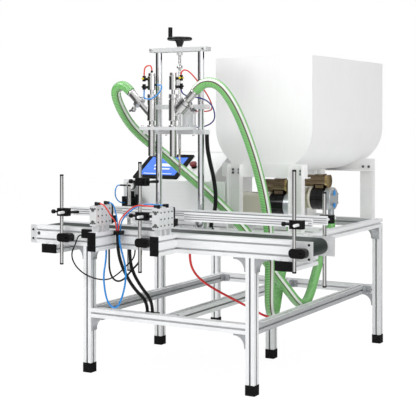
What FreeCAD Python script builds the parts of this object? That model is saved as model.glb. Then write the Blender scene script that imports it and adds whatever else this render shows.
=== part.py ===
"""Piston paste filling machine: a bench height conveyor in an aluminium profile frame.

A hand wheel raises a two nozzle filling head over the belt. Two piston pumps draw from a
trough hopper at the back and push through spiral hoses to the filling valves. Two twin rod
stops hold the bottles. Axes: X along the conveyor, Y away from the operator, Z up.
The operator face of the frame is the datum for Y while the pieces are built, and every
piece is moved back by half the depth when it is written, so that the origin is the middle
of the footprint on the floor.
"""
import FreeCAD, Part
import math
import os

os.makedirs("parts", exist_ok=True)
V = FreeCAD.Vector

# Overall driving sizes
CONVEYOR_LENGTH = 1394.0
FRAME_DEPTH = 1245.0
CONVEYOR_TOP = 634.0
UPPER_FRAME_TOP = 617.0
LOWER_RAIL_BOTTOM = 244.0

# Aluminium profile
PROFILE = 40.0
SLOT_OPENING = 8.0
SLOT_LIP = 4.5
SLOT_ROOM = 16.0
SLOT_DEPTH = 11.0

# Frame plan
FRONT_LEG_LEFT_X = -402.0
FRONT_LEG_RIGHT_X = 404.0
MIDDLE_LEG_X = 173.0
REAR_LEG_RIGHT_X = 482.0
MIDDLE_LEG_Y = 640.0
MIDDLE_RAIL_X = 0.0
UPPER_FRONT_RAIL_Y = 430.0
UPPER_SIDE_RAIL_FRONT_Y = 400.0
FOOT_CAP_HEIGHT = 42.0
FOOT_CAP_LIP = 1.5
FOOT_PAD_HEIGHT = 8.0
GUSSET_SIZE = 58.0
GUSSET_THICK = 32.0
GUSSET_EDGE = 8.0
BRACKET_SIZE = 34.0
BRACKET_WALL = 6.0
SCREW_HEAD_RADIUS = 6.0
SCREW_HEAD_HEIGHT = 4.0

# Conveyor
RAIL_HEIGHT = 2 * PROFILE
CONVEYOR_WIDTH = 227.0
BEARING_PLATE_RIGHT = 92.0
BEARING_PLATE_LEFT = 36.0
BEARING_PLATE_THICK = 12.0
DRUM_RADIUS = 30.0
DRUM_JOURNAL_RADIUS = 9.0
DRUM_INSET = 46.0
DRUM_SHOULDER = 4.0
DRUM_END_PLAY = 0.5
BELT_THICK = 3.0
BELT_SIDE_GAP = 4.0
BELT_TOP_BELOW_RAIL = 3.0
BED_THICK = 12.0
DRUM_GAP = 0.3
JOURNAL_GAP = 0.05
CROSS_BEAM_INSET_LEFT = 76.0
CROSS_BEAM_INSET_RIGHT = 74.0
CROSS_BEAM_FRONT = 12.0
BEAM_CAP_THICK = 5.0
GATE_BEAM_1_X = -273.0
GATE_BEAM_2_X = 41.0
GATE_BEAM_REACH = 142.0
SENSOR_LENGTH = 62.0
SENSOR_GAP = 64.0
SENSOR_HEIGHT = 38.0
SENSOR_THICK = 22.0

# Bottle stops
STOP_WIDTH = 34.0
STOP_LENGTH = 112.0
STOP_HEIGHT = 112.0
STOP_BACK_OFFSET = 22.0
STOP_STROKE = 50.0
STOP_ROD_LAP = 20.0
STOP_ROD_RADIUS = 8.0
STOP_PISTON_ROD_RADIUS = 6.0
STOP_ROD_PITCH = 52.0
STOP_ROD_GAP = 0.05
STOP_PLATE_THICK = 10.0
STOP_PLATE_CLEAR = 3.0
STOP_FINGER_LENGTH = 40.0
STOP_FINGER_WIDTH = 12.0
STOP_FOOT_HEIGHT = 26.0
PUSH_FITTING_RADIUS = 6.5
PUSH_FITTING_HEIGHT = 15.0
PUSH_ELBOW_LENGTH = 20.0

# Bottle guides
POST_RADIUS = 8.0
POST_STAND_OFF = 24.0
POST_1_X = -503.0
POST_2_X = -88.0
POST_3_X = 632.0
POST_REAR_X = 640.0
POST_REAR_LEFT_X = -330.0
POST_1_BOTTOM = 470.0
POST_1_TOP = 867.0
POST_2_BOTTOM = 462.0
POST_2_TOP = 931.0
POST_3_BOTTOM = 512.0
POST_3_TOP = 914.0
POST_REAR_BOTTOM = 420.0
POST_REAR_TOP = 812.0
CLAMP_WIDTH = 72.0
CLAMP_HEIGHT = 38.0
CLAMP_THICK = 34.0
CLAMP_SCREW_OFFSET = 31.0
GUIDE_HEIGHT = 36.0
GUIDE_THICK = 14.0
GUIDE_GROOVE = 3.0
GUIDE_BOTTOM = 684.0
GUIDE_LANE_INSET = 52.0
GUIDE_ROD_RADIUS = 6.0
GUIDE_ROD_OVERRUN = 34.0
GUIDE_GATE_GAP = 12.0
HIGH_CLAMP_Z = 848.0
CROSS_SCREW_RADIUS = 5.0
CROSS_SCREW_LENGTH = 22.0
CROSS_KNOB_RADIUS = 9.5
CROSS_KNOB_LENGTH = 14.0
HANDLE_LENGTH = 42.0
HANDLE_LEAN = 0.08

# Gantry
GANTRY_X = -59.0
GANTRY_Y = 252.0
COLUMN_PITCH = 219.0
COLUMN_RADIUS = 14.0
BASE_THICK = 20.0
BASE_WIDTH = 44.0
BASE_END = 42.0
BASE_COLLAR_RADIUS = 25.0
BASE_COLLAR_HEIGHT = 34.0
SUPPORT_BEAM_OFFSET = 24.0
GANTRY_TOP = 1430.0
TOP_PLATE_THICK = 18.0
TOP_PLATE_END = 38.0
TOP_PLATE_DEPTH = 54.0
SPLIT_GAP = 3.0
SCREW_RADIUS = 7.0
SCREW_CORE_RADIUS = 5.0
SCREW_BOTTOM = 872.0
THREAD_BOTTOM = 980.0
SCREW_RUN_GAP = 0.06
BUSH_RADIUS = 13.0
BUSH_HEIGHT = 14.0
STOP_COLLAR_RADIUS = 13.0
STOP_COLLAR_HEIGHT = 14.0
STOP_COLLAR_DROP = 92.0
STOP_COLLAR_Z = GANTRY_TOP - STOP_COLLAR_DROP
WHEEL_RADIUS = 56.0
WHEEL_RIM_RADIUS = 7.0
WHEEL_RISE = 40.0
WHEEL_HEIGHT = GANTRY_TOP + WHEEL_RISE
WHEEL_HUB_RADIUS = 15.0
WHEEL_SPOKE_RADIUS = 5.0
GRIP_RADIUS = 9.5
GRIP_LENGTH = 46.0
GRIP_PIN_RADIUS = 4.0
GRIP_GAP = 0.08

# Filling head
LOWER_BAR_BOTTOM = 1046.0
BAR_THICK = 20.0
UPPER_BAR_BOTTOM = 1157.0
BAR_END = 36.0
LOWER_BAR_LEFT_END = 74.0
BAR_DEPTH = 42.0
COLUMN_RUN_GAP = 0.06
NOZZLE_PLATE_THICK = 13.0
NOZZLE_PLATE_END = 26.0
NOZZLE_PLATE_RIGHT_END = 30.0
VALVE_X = -116.0
VALVE_PITCH = 110.0
VALVE_Y = 112.0
VALVE_RADIUS = 19.5
VALVE_TOP = 1222.0
UNION_RADIUS = 16.0
UNION_HEIGHT = 34.0
STEM_RADIUS = 8.0
STEM_HEIGHT = 18.0
ACTUATOR_RADIUS = 18.0
ACTUATOR_HEIGHT = 74.0
NOZZLE_TIP = 952.0
NOZZLE_RADIUS = 15.5
NOZZLE_BORE = 12.0
INLET_RADIUS = 12.0
INLET_ANGLE = 45.0
INLET_BASE_Z = 1122.0
TAIL_RADIUS = 17.0
TAIL_LENGTH = 58.0
CLAMP_RING_RADIUS = 27.0
CLAMP_RING_WIDTH = 16.0
CLAMP_RING_DISTANCE = 100.0
WING_LENGTH = 26.0
CHECK_BODY_RADIUS = 29.0
CHECK_BODY_LENGTH = 38.0
CHECK_BODY_DISTANCE = 44.0
DIVE_CYLINDER_RADIUS = 25.0
DIVE_END_SIZE = 56.0
DIVE_END_THICK = 20.0
TIE_ROD_RADIUS = 3.0
PORT_STEM_RADIUS = 5.0
PORT_STEM_LENGTH = 10.0

# Hopper
HOPPER_LEFT_X = 20.0
HOPPER_WIDTH = 480.0
HOPPER_FRONT_Y = 440.0
HOPPER_OVERHANG = 55.0
HOPPER_LENGTH = FRAME_DEPTH + HOPPER_OVERHANG - HOPPER_FRONT_Y
HOPPER_TOP = 1392.0
HOPPER_BOTTOM = 866.0
HOPPER_TROUGH_RISE = 208.0
HOPPER_WALL = 2.0
BEAM_PLATE_HEIGHT = 62.0
BEAM_PLATE_THICK = 4.0
BEAM_FLANGE = 34.0
BEAM_END = 36.0
LEG_CHANNEL_WIDTH = 66.0
LEG_CHANNEL_DEPTH = 32.0
LEG_CHANNEL_WALL = 4.0
LEG_CHANNEL_INSET = 12.0
LEG_BOLT_RADIUS = 5.5
LEG_BOLT_HEAD = 4.0
LEG_BOLT_OFFSET = 15.0
LEG_BOLT_STEP = 14.0
LEG_BOLT_DROP = 30.0
LEG_BOLT_DROP_REAR = 40.0
REAR_BEAM_INSET = 38.0
REAR_BEAM_Y = FRAME_DEPTH - REAR_BEAM_INSET
REAR_LEG_SHIFT = 15.0

# Pumps
PUMP_Z = 722.0
PUMP_FRONT_Y = 590.0
PUMP_PITCH = 455.0
PUMP_FLANGE_X = 226.0
PUMP_RADIUS = 56.0
PUMP_FLANGE_RADIUS = 59.0
PUMP_FLANGE_THICK = 12.0
PUMP_BARREL_LENGTH = 74.0
PUMP_CAP_LENGTH = 34.0
DRIVE_LENGTH = 120.0
DRIVE_SIZE = 104.0
DRIVE_CORNER = 20.0
DRIVE_GAP_LENGTH = 24.0
DRIVE_NECK_RADIUS = 30.0
PORT_RADIUS = 10.0
PORT_HEIGHT = 8.0
VALVE_BLOCK_RADIUS = 30.0
VALVE_BLOCK_LENGTH = 150.0
VALVE_PAD_HALF = 22.0
VALVE_PAD_RISE = 4.0
VALVE_FLANGE_GAP = 0.5
FERRULE_RADIUS = 36.0
FERRULE_WIDTH = 10.0
OUTLET_RADIUS = 17.0
OUTLET_REACH = 40.0
PUMP_OUTLET_RADIUS = 15.0
SADDLE_THICK = 12.0
SADDLE_INSET = 8.0
SADDLE_STEP = 12.0
SADDLE_HALF = 40.0

# Cabinet and air unit
CABINET_LEFT_X = -463.0
CABINET_RIGHT_X = 8.0
CABINET_LOWER_RIGHT_X = 88.0
CABINET_FRONT_Y = 402.0
CABINET_BOTTOM = 655.0
CABINET_SHOULDER = 828.0
CABINET_TOP = 951.0
CABINET_SLOPE_DEPTH = 196.0
CABINET_DEPTH = 420.0
CABINET_WALL = 2.0
CABINET_BOX_DEPTH = 34.0
PANEL_WIDTH = 246.0
PANEL_HEIGHT = 196.0
PANEL_THICK = 7.0
PANEL_LEFT_X = -417.0
PANEL_SLOPE_START = 10.0
BUTTON_X = -128.0
BUTTON_UP_SLOPE = 112.0
BUTTON_RADIUS = 17.0
BUTTON_STEM_RADIUS = 8.0
BUTTON_TRAVEL = 6.0
BUTTON_HEIGHT = 24.0
BUTTON_COLLAR_RADIUS = 13.0
BUTTON_COLLAR_HEIGHT = 6.0
AIR_X = -402.0
AIR_WIDTH = 44.0
AIR_DEPTH = 44.0
AIR_HEIGHT = 52.0
VALVE_KNOB_RADIUS = 15.0
VALVE_KNOB_HEIGHT = 18.0
AIR_Z = 690.0
GAUGE_RADIUS = 20.0
GAUGE_THICK = 16.0
GAUGE_LIFT = 58.0
GAUGE_PIPE_LENGTH = 42.0

# Hoses and tubes
HOSE_RADIUS = 22.0
CONDUIT_RADIUS = 8.0
HEAD_CONDUIT_RADIUS = 10.0
TUBE_RADIUS = 4.0
SMALL_TUBE_RADIUS = 3.0
CABLE_RADIUS = 4.0
HOSE_UNION_Y = 298.0

# Worked out from the sizes above
HALF = PROFILE / 2
CONVEYOR_LEFT = -CONVEYOR_LENGTH / 2
CONVEYOR_RIGHT = CONVEYOR_LENGTH / 2
CONVEYOR_BOTTOM = CONVEYOR_TOP - RAIL_HEIGHT
UPPER_RAIL_BOTTOM = UPPER_FRAME_TOP - PROFILE
REAR_FACE_Y = FRAME_DEPTH
REAR_LEG_Y = FRAME_DEPTH - PROFILE
LEFT_COLUMN_X = FRONT_LEG_LEFT_X - PROFILE
HOPPER_BACK_Y = HOPPER_FRONT_Y + HOPPER_LENGTH
STOP_FRONT_Y = -GATE_BEAM_REACH
DEPTH_FRONT = STOP_FRONT_Y - BEAM_CAP_THICK
DEPTH_MIDDLE = (DEPTH_FRONT + HOPPER_BACK_Y) / 2
LANE_FRONT_Y = PROFILE + BELT_SIDE_GAP
LANE_BACK_Y = CONVEYOR_WIDTH - PROFILE - BELT_SIDE_GAP
LANE_MIDDLE_Y = (LANE_FRONT_Y + LANE_BACK_Y) / 2
BELT_TOP = CONVEYOR_TOP - BELT_TOP_BELOW_RAIL
DRUM_Z = BELT_TOP - BELT_THICK - DRUM_GAP - DRUM_RADIUS
DRUM_LEFT_X = CONVEYOR_LEFT + DRUM_INSET
DRUM_RIGHT_X = CONVEYOR_RIGHT - DRUM_INSET
RAIL_LEFT_X = CONVEYOR_LEFT + BEARING_PLATE_LEFT
RAIL_RIGHT_X = CONVEYOR_RIGHT - BEARING_PLATE_RIGHT
COLUMN_LEFT_X = GANTRY_X - COLUMN_PITCH / 2
COLUMN_RIGHT_X = GANTRY_X + COLUMN_PITCH / 2
TOP_PLATE_BOTTOM = GANTRY_TOP - TOP_PLATE_THICK
BASE_BOTTOM = UPPER_FRAME_TOP
BASE_TOP = BASE_BOTTOM + BASE_THICK
LOWER_BAR_TOP = LOWER_BAR_BOTTOM + BAR_THICK
UPPER_BAR_TOP = UPPER_BAR_BOTTOM + BAR_THICK
PLATE_TOP = LOWER_BAR_TOP + NOZZLE_PLATE_THICK
VALVE_BOTTOM = PLATE_TOP + UNION_HEIGHT
ACTUATOR_BOTTOM = VALVE_TOP + STEM_HEIGHT
ACTUATOR_TOP = ACTUATOR_BOTTOM + ACTUATOR_HEIGHT
HOPPER_RIGHT_X = HOPPER_LEFT_X + HOPPER_WIDTH
HOPPER_MIDDLE_X = HOPPER_LEFT_X + HOPPER_WIDTH / 2
BEAM_PLATE_TOP = HOPPER_BOTTOM + BEAM_PLATE_HEIGHT - 12.0
PUMP_BACK_Y = PUMP_FRONT_Y + PUMP_PITCH
PUMP_BARREL_X = PUMP_FLANGE_X + PUMP_FLANGE_THICK
PUMP_CAP_X = PUMP_BARREL_X + PUMP_BARREL_LENGTH
PUMP_END_X = PUMP_CAP_X + PUMP_CAP_LENGTH
DRIVE_RIGHT_X = PUMP_FLANGE_X - DRIVE_GAP_LENGTH
DRIVE_LEFT_X = DRIVE_RIGHT_X - DRIVE_LENGTH
SLOPE_RISE = CABINET_TOP - CABINET_SHOULDER
SLOPE_ANGLE = math.degrees(math.atan2(SLOPE_RISE, CABINET_SLOPE_DEPTH))
PANEL_FACE_LENGTH = math.hypot(SLOPE_RISE, CABINET_SLOPE_DEPTH)


def write(name, solids):
    """Moves a piece to the footprint origin and writes its STEP file."""
    items = solids if isinstance(solids, list) else [solids]
    flat = []
    for item in items:
        flat.extend(item.Solids)
    shape = flat[0] if len(flat) == 1 else Part.makeCompound(flat)
    shape = shape.copy()
    shape.translate(V(0, -DEPTH_MIDDLE, 0))
    shape.exportStep(os.path.join("parts", name + ".step"))
    print(name, len(flat), "solids", round(sum(s.Volume for s in flat) / 1000.0, 1), "cm3")


def block(x0, x1, y0, y1, z0, z1):
    """Box between two corners."""
    return Part.makeBox(x1 - x0, y1 - y0, z1 - z0, V(x0, y0, z0))


def rod_x(radius, x0, x1, y, z):
    """Cylinder along X."""
    return Part.makeCylinder(radius, x1 - x0, V(x0, y, z), V(1, 0, 0))


def rod_y(radius, y0, y1, x, z):
    """Cylinder along Y."""
    return Part.makeCylinder(radius, y1 - y0, V(x, y0, z), V(0, 1, 0))


def rod_z(radius, z0, z1, x, y):
    """Upright cylinder."""
    return Part.makeCylinder(radius, z1 - z0, V(x, y, z0), V(0, 0, 1))


def fuse(items):
    """Joins solids into one body and drops the seams."""
    shape = items[0]
    for item in items[1:]:
        shape = shape.fuse(item)
    return shape.removeSplitter()


def cut(shape, tools):
    """Takes each tool away from a shape."""
    for tool in tools:
        shape = shape.cut(tool)
    return shape


def slot_side(length):
    """Points of one profile side, from its start corner, as distance along and depth."""
    points = [(0.0, 0.0)]
    count = max(1, int(round(length / PROFILE)))
    for index in range(count):
        middle = (index + 0.5) * length / count
        mouth = SLOT_OPENING / 2
        room = SLOT_ROOM / 2
        points += [(middle - mouth, 0.0), (middle - mouth, SLOT_LIP)]
        points += [(middle - room, SLOT_LIP), (middle - mouth, SLOT_DEPTH)]
        points += [(middle + mouth, SLOT_DEPTH), (middle + room, SLOT_LIP)]
        points += [(middle + mouth, SLOT_LIP), (middle + mouth, 0.0)]
    return points


def slot_section(width, height):
    """Outline of a slotted profile, anticlockwise from its lower left corner."""
    outline = [(a, d) for a, d in slot_side(width)]
    outline += [(width - d, a) for a, d in slot_side(height)]
    outline += [(width - a, height - d) for a, d in slot_side(width)]
    outline += [(d, height - a) for a, d in slot_side(height)]
    return outline


def beam(axis, x, y, z, length, width=PROFILE, height=PROFILE):
    """Slotted profile from a corner, along one axis; width is the first cross axis."""
    place = {
        "X": lambda a, b: V(x, y + a, z + b),
        "Y": lambda a, b: V(x + a, y, z + b),
        "Z": lambda a, b: V(x + a, y + b, z),
    }[axis]
    along = {"X": V(length, 0, 0), "Y": V(0, length, 0), "Z": V(0, 0, length)}[axis]
    points = [place(a, b) for a, b in slot_section(width, height)]
    points.append(points[0])
    return Part.Face(Part.makePolygon(points)).extrude(along)


def gusset(corner, along, down, across):
    """Cast corner with a hollow curved edge; the two legs run along and down."""
    far = corner + along * GUSSET_SIZE
    low = corner + down * GUSSET_SIZE
    far_edge = far + down * GUSSET_EDGE
    low_edge = low + along * GUSSET_EDGE
    bow = corner + (along + down) * (GUSSET_SIZE * 0.36)
    curve = Part.Arc(far_edge, bow, low_edge).toShape()
    lines = [
        Part.makeLine(low_edge, low),
        Part.makeLine(low, corner),
        Part.makeLine(corner, far),
        Part.makeLine(far, far_edge),
    ]
    face = Part.Face(Part.Wire([curve] + lines))
    shift = across * (-GUSSET_THICK / 2)
    solid = face.extrude(across * GUSSET_THICK)
    solid.translate(shift)
    return solid


def angle_bracket(corner, along, side, rise):
    """Small cast angle with a web and two button heads."""
    size = BRACKET_SIZE
    wall = BRACKET_WALL

    def cell(a0, a1, b0, b1, c0, c1):
        low = corner + along * a0 + side * b0 + rise * c0
        high = corner + along * a1 + side * b1 + rise * c1
        x = sorted((low.x, high.x))
        y = sorted((low.y, high.y))
        z = sorted((low.z, high.z))
        return block(x[0], x[1], y[0], y[1], z[0], z[1])

    body = fuse([
        cell(0, size, 0, wall, -size / 2, size / 2),
        cell(0, wall, 0, size, -size / 2, size / 2),
        cell(0, size * 0.8, 0, size * 0.8, -size / 2, wall - size / 2),
    ])
    middle_a = corner + along * (size * 0.62) + side * wall
    middle_b = corner + side * (size * 0.62) + along * wall
    head_a = Part.makeCylinder(SCREW_HEAD_RADIUS, SCREW_HEAD_HEIGHT, middle_a, side)
    head_b = Part.makeCylinder(SCREW_HEAD_RADIUS, SCREW_HEAD_HEIGHT, middle_b, along)
    return [body, head_a, head_b]


def frame_legs():
    """Two front legs under the conveyor and four legs under the upper frame."""
    low = FOOT_PAD_HEIGHT
    front = CONVEYOR_BOTTOM - low
    rear = UPPER_RAIL_BOTTOM - low
    return [
        beam("Z", FRONT_LEG_LEFT_X, 0, low, front),
        beam("Z", FRONT_LEG_RIGHT_X, 0, low, front),
        beam("Z", LEFT_COLUMN_X, MIDDLE_LEG_Y, low, rear),
        beam("Z", MIDDLE_LEG_X, MIDDLE_LEG_Y, low, rear),
        beam("Z", LEFT_COLUMN_X, REAR_LEG_Y, low, rear),
        beam("Z", REAR_LEG_RIGHT_X, REAR_LEG_Y, low, rear),
    ]


def foot_caps():
    """Moulded foot under each leg, with a lip round the profile and a pad."""
    feet = []
    places = [
        (FRONT_LEG_LEFT_X, 0.0), (FRONT_LEG_RIGHT_X, 0.0),
        (LEFT_COLUMN_X, MIDDLE_LEG_Y), (MIDDLE_LEG_X, MIDDLE_LEG_Y),
        (LEFT_COLUMN_X, REAR_LEG_Y), (REAR_LEG_RIGHT_X, REAR_LEG_Y),
    ]
    lip = FOOT_CAP_LIP
    for x, y in places:
        cup = block(x - lip, x + PROFILE + lip, y - lip, y + PROFILE + lip, 0, FOOT_CAP_HEIGHT)
        cup = cup.makeFillet(1.0, [e for e in cup.Edges if abs(e.tangentAt(0).z) > 0.9])
        room = block(x, x + PROFILE, y, y + PROFILE, FOOT_PAD_HEIGHT, FOOT_CAP_HEIGHT + 1)
        feet.append(cup.cut(room))
    return feet


def lower_rails():
    """Base rails: front, back, left, middle and right."""
    z = LOWER_RAIL_BOTTOM
    inner_left = FRONT_LEG_LEFT_X + PROFILE
    run_y = REAR_LEG_Y - PROFILE
    return [
        beam("X", inner_left, 0, z, FRONT_LEG_RIGHT_X - inner_left),
        beam("X", FRONT_LEG_LEFT_X, REAR_LEG_Y, z, REAR_LEG_RIGHT_X - FRONT_LEG_LEFT_X),
        beam("Y", FRONT_LEG_LEFT_X, PROFILE, z, run_y),
        beam("Y", MIDDLE_RAIL_X, PROFILE, z, run_y),
        beam("Y", FRONT_LEG_RIGHT_X, PROFILE, z, run_y),
    ]


def upper_rails():
    """Ring under the hopper and cabinet, with the two beams that carry the gantry."""
    z = UPPER_RAIL_BOTTOM
    side_run = REAR_FACE_Y - UPPER_SIDE_RAIL_FRONT_Y
    inner_left = LEFT_COLUMN_X + PROFILE
    cross = REAR_LEG_RIGHT_X - inner_left
    support_run = UPPER_FRONT_RAIL_Y - CONVEYOR_WIDTH
    left = COLUMN_LEFT_X - HALF - SUPPORT_BEAM_OFFSET
    right = COLUMN_RIGHT_X - HALF + SUPPORT_BEAM_OFFSET
    return [
        beam("Y", LEFT_COLUMN_X, UPPER_SIDE_RAIL_FRONT_Y, z, side_run),
        beam("Y", REAR_LEG_RIGHT_X, UPPER_SIDE_RAIL_FRONT_Y, z, side_run),
        beam("X", inner_left, UPPER_FRONT_RAIL_Y, z, cross),
        beam("X", inner_left, MIDDLE_LEG_Y, z, cross),
        beam("X", inner_left, REAR_LEG_Y, z, cross),
        beam("Y", left, CONVEYOR_WIDTH, z, support_run),
        beam("Y", right, CONVEYOR_WIDTH, z, support_run),
    ]


def corner_brackets():
    """Cast gussets at the legs and small angles where rails meet."""
    x_axis = V(1, 0, 0)
    y_axis = V(0, 1, 0)
    z_axis = V(0, 0, 1)
    pieces = []
    top = CONVEYOR_BOTTOM
    for x in (FRONT_LEG_LEFT_X, FRONT_LEG_RIGHT_X):
        pieces.append(gusset(V(x, HALF, top), -x_axis, -z_axis, y_axis))
        pieces.append(gusset(V(x + PROFILE, HALF, top), x_axis, -z_axis, y_axis))
    under = UPPER_RAIL_BOTTOM
    for x in (LEFT_COLUMN_X, REAR_LEG_RIGHT_X):
        pieces.append(gusset(V(x + HALF, REAR_LEG_Y, under), -y_axis, -z_axis, x_axis))
        pieces.append(gusset(V(x + HALF, MIDDLE_LEG_Y, under), -y_axis, -z_axis, x_axis)
                      if x == LEFT_COLUMN_X else
                      gusset(V(REAR_LEG_RIGHT_X, REAR_LEG_Y + HALF, under), -x_axis, -z_axis, y_axis))
    low = LOWER_RAIL_BOTTOM
    pieces.append(gusset(V(FRONT_LEG_LEFT_X + PROFILE, HALF, low), x_axis, -z_axis, y_axis))
    pieces.append(gusset(V(FRONT_LEG_RIGHT_X, HALF, low), -x_axis, -z_axis, y_axis))
    pieces.append(gusset(V(REAR_LEG_RIGHT_X, REAR_LEG_Y + HALF, low), -x_axis, -z_axis, y_axis))
    middle = LOWER_RAIL_BOTTOM + HALF
    for x in (FRONT_LEG_LEFT_X, MIDDLE_RAIL_X, FRONT_LEG_RIGHT_X):
        right = V(x + PROFILE, REAR_LEG_Y, middle)
        pieces += angle_bracket(right, x_axis, -y_axis, z_axis)
    for x in (FRONT_LEG_LEFT_X, MIDDLE_RAIL_X):
        front = V(x + PROFILE, PROFILE, middle)
        pieces += angle_bracket(front, x_axis, y_axis, z_axis)
    pieces += angle_bracket(V(FRONT_LEG_RIGHT_X, PROFILE, middle), -x_axis, y_axis, z_axis)
    upper = UPPER_RAIL_BOTTOM + HALF
    inner = REAR_LEG_RIGHT_X
    pieces += angle_bracket(V(inner, MIDDLE_LEG_Y, upper), -x_axis, -y_axis, z_axis)
    pieces += angle_bracket(V(inner, REAR_LEG_Y, upper), -x_axis, -y_axis, z_axis)
    return pieces


def conveyor_rails():
    """Two side profiles with their slots facing out, bored for the idler's journals."""
    run = RAIL_RIGHT_X - RAIL_LEFT_X
    z = CONVEYOR_BOTTOM
    front = beam("X", RAIL_LEFT_X, 0, z, run, PROFILE, RAIL_HEIGHT)
    rear = beam("X", RAIL_LEFT_X, CONVEYOR_WIDTH - PROFILE, z, run, PROFILE, RAIL_HEIGHT)
    bore = rod_y(DRUM_JOURNAL_RADIUS + JOURNAL_GAP, -1, CONVEYOR_WIDTH + 1, DRUM_LEFT_X, DRUM_Z)
    return [front.cut(bore), rear.cut(bore)]


def end_plates():
    """Plates at the four rail ends; the right ones are bored for the drive drum."""
    plates = []
    thick = BEARING_PLATE_THICK
    bore = DRUM_JOURNAL_RADIUS + JOURNAL_GAP
    for y0 in (0.0, CONVEYOR_WIDTH - thick):
        right = block(RAIL_RIGHT_X, CONVEYOR_RIGHT, y0, y0 + thick, CONVEYOR_BOTTOM, CONVEYOR_TOP)
        left = block(CONVEYOR_LEFT, RAIL_LEFT_X, y0, y0 + thick, CONVEYOR_BOTTOM, CONVEYOR_TOP)
        hole = rod_y(bore, y0 - 1, y0 + thick + 1, DRUM_RIGHT_X, DRUM_Z)
        plates += [right.cut(hole), left]
    return plates


def drum(x, inside):
    """Drum on two journals; its shoulders stand just inside the walls that carry it."""
    back = CONVEYOR_WIDTH
    shell = rod_y(DRUM_RADIUS, LANE_FRONT_Y, LANE_BACK_Y, x, DRUM_Z)
    journal = rod_y(DRUM_JOURNAL_RADIUS, 1.0, back - 1.0, x, DRUM_Z)
    low = inside + DRUM_END_PLAY
    boss = rod_y(DRUM_JOURNAL_RADIUS + DRUM_SHOULDER, low, back - low, x, DRUM_Z)
    return fuse([shell, boss, journal])


def belt():
    """Closed belt loop round both drums."""
    inner = DRUM_RADIUS + DRUM_GAP
    outer = inner + BELT_THICK

    def loop(radius):
        ends = rod_y(radius, LANE_FRONT_Y, LANE_BACK_Y, DRUM_LEFT_X, DRUM_Z)
        other = rod_y(radius, LANE_FRONT_Y, LANE_BACK_Y, DRUM_RIGHT_X, DRUM_Z)
        flat = block(DRUM_LEFT_X, DRUM_RIGHT_X, LANE_FRONT_Y, LANE_BACK_Y,
                     DRUM_Z - radius, DRUM_Z + radius)
        return fuse([flat, ends, other])

    return loop(outer).cut(loop(inner))


def belt_bed():
    """Slider plate under the carrying side, held by cross pieces to both side profiles."""
    clear = DRUM_RADIUS + 6.0
    top = BELT_TOP - BELT_THICK
    left = DRUM_LEFT_X + clear
    right = DRUM_RIGHT_X - clear
    plate = block(left, right, PROFILE, CONVEYOR_WIDTH - PROFILE, top - BED_THICK, top)
    return plate


def cross_beams():
    """Profiles laid flat under both conveyor ends, and the two beams that carry the stops."""
    z = CONVEYOR_BOTTOM - PROFILE
    front = -CROSS_BEAM_FRONT
    run = CONVEYOR_WIDTH - front
    left = CONVEYOR_LEFT + CROSS_BEAM_INSET_LEFT
    right = CONVEYOR_RIGHT - CROSS_BEAM_INSET_RIGHT - RAIL_HEIGHT
    reach = GATE_BEAM_REACH
    return [
        beam("Y", left, front, z, run, RAIL_HEIGHT, PROFILE),
        beam("Y", right, front, z, run, RAIL_HEIGHT, PROFILE),
        beam("Y", GATE_BEAM_1_X, -reach, CONVEYOR_BOTTOM, reach, PROFILE, RAIL_HEIGHT),
        beam("Y", GATE_BEAM_2_X, -reach, CONVEYOR_BOTTOM, reach, PROFILE, RAIL_HEIGHT),
    ]


def beam_caps():
    """Moulded end caps on the beams that face the operator."""
    z = CONVEYOR_BOTTOM - PROFILE
    thick = BEAM_CAP_THICK
    left = CONVEYOR_LEFT + CROSS_BEAM_INSET_LEFT
    right = CONVEYOR_RIGHT - CROSS_BEAM_INSET_RIGHT - RAIL_HEIGHT
    caps = []
    for x in (left, right):
        caps.append(block(x, x + RAIL_HEIGHT, -CROSS_BEAM_FRONT - thick, -CROSS_BEAM_FRONT,
                          z, z + PROFILE))
    for x in (GATE_BEAM_1_X, GATE_BEAM_2_X):
        caps.append(block(x, x + PROFILE, -GATE_BEAM_REACH - thick, -GATE_BEAM_REACH,
                          CONVEYOR_BOTTOM, CONVEYOR_TOP))
    rounded = []
    for cap in caps:
        edges = [e for e in cap.Edges if abs(e.tangentAt(0).y) > 0.9]
        rounded.append(cap.makeFillet(2.0, edges))
    return rounded


def bottle_sensor():
    """Light sensor beside the first stop, hung on the front side profile."""
    right = GATE_BEAM_1_X - SENSOR_GAP
    top = CONVEYOR_TOP - 4.0
    body = block(right - SENSOR_LENGTH, right, -SENSOR_THICK, 0, top - SENSOR_HEIGHT, top)
    edges = [e for e in body.Edges if abs(e.tangentAt(0).z) > 0.9]
    body = body.makeFillet(3.0, edges)
    lens = rod_y(6.0, -SENSOR_THICK - 2.0, -SENSOR_THICK + 1, right - SENSOR_LENGTH * 0.7,
                 top - SENSOR_HEIGHT / 2)
    return fuse([body, lens])


def stop_x(beam_x):
    """Middle of a stop over its beam."""
    return beam_x + HALF


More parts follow.
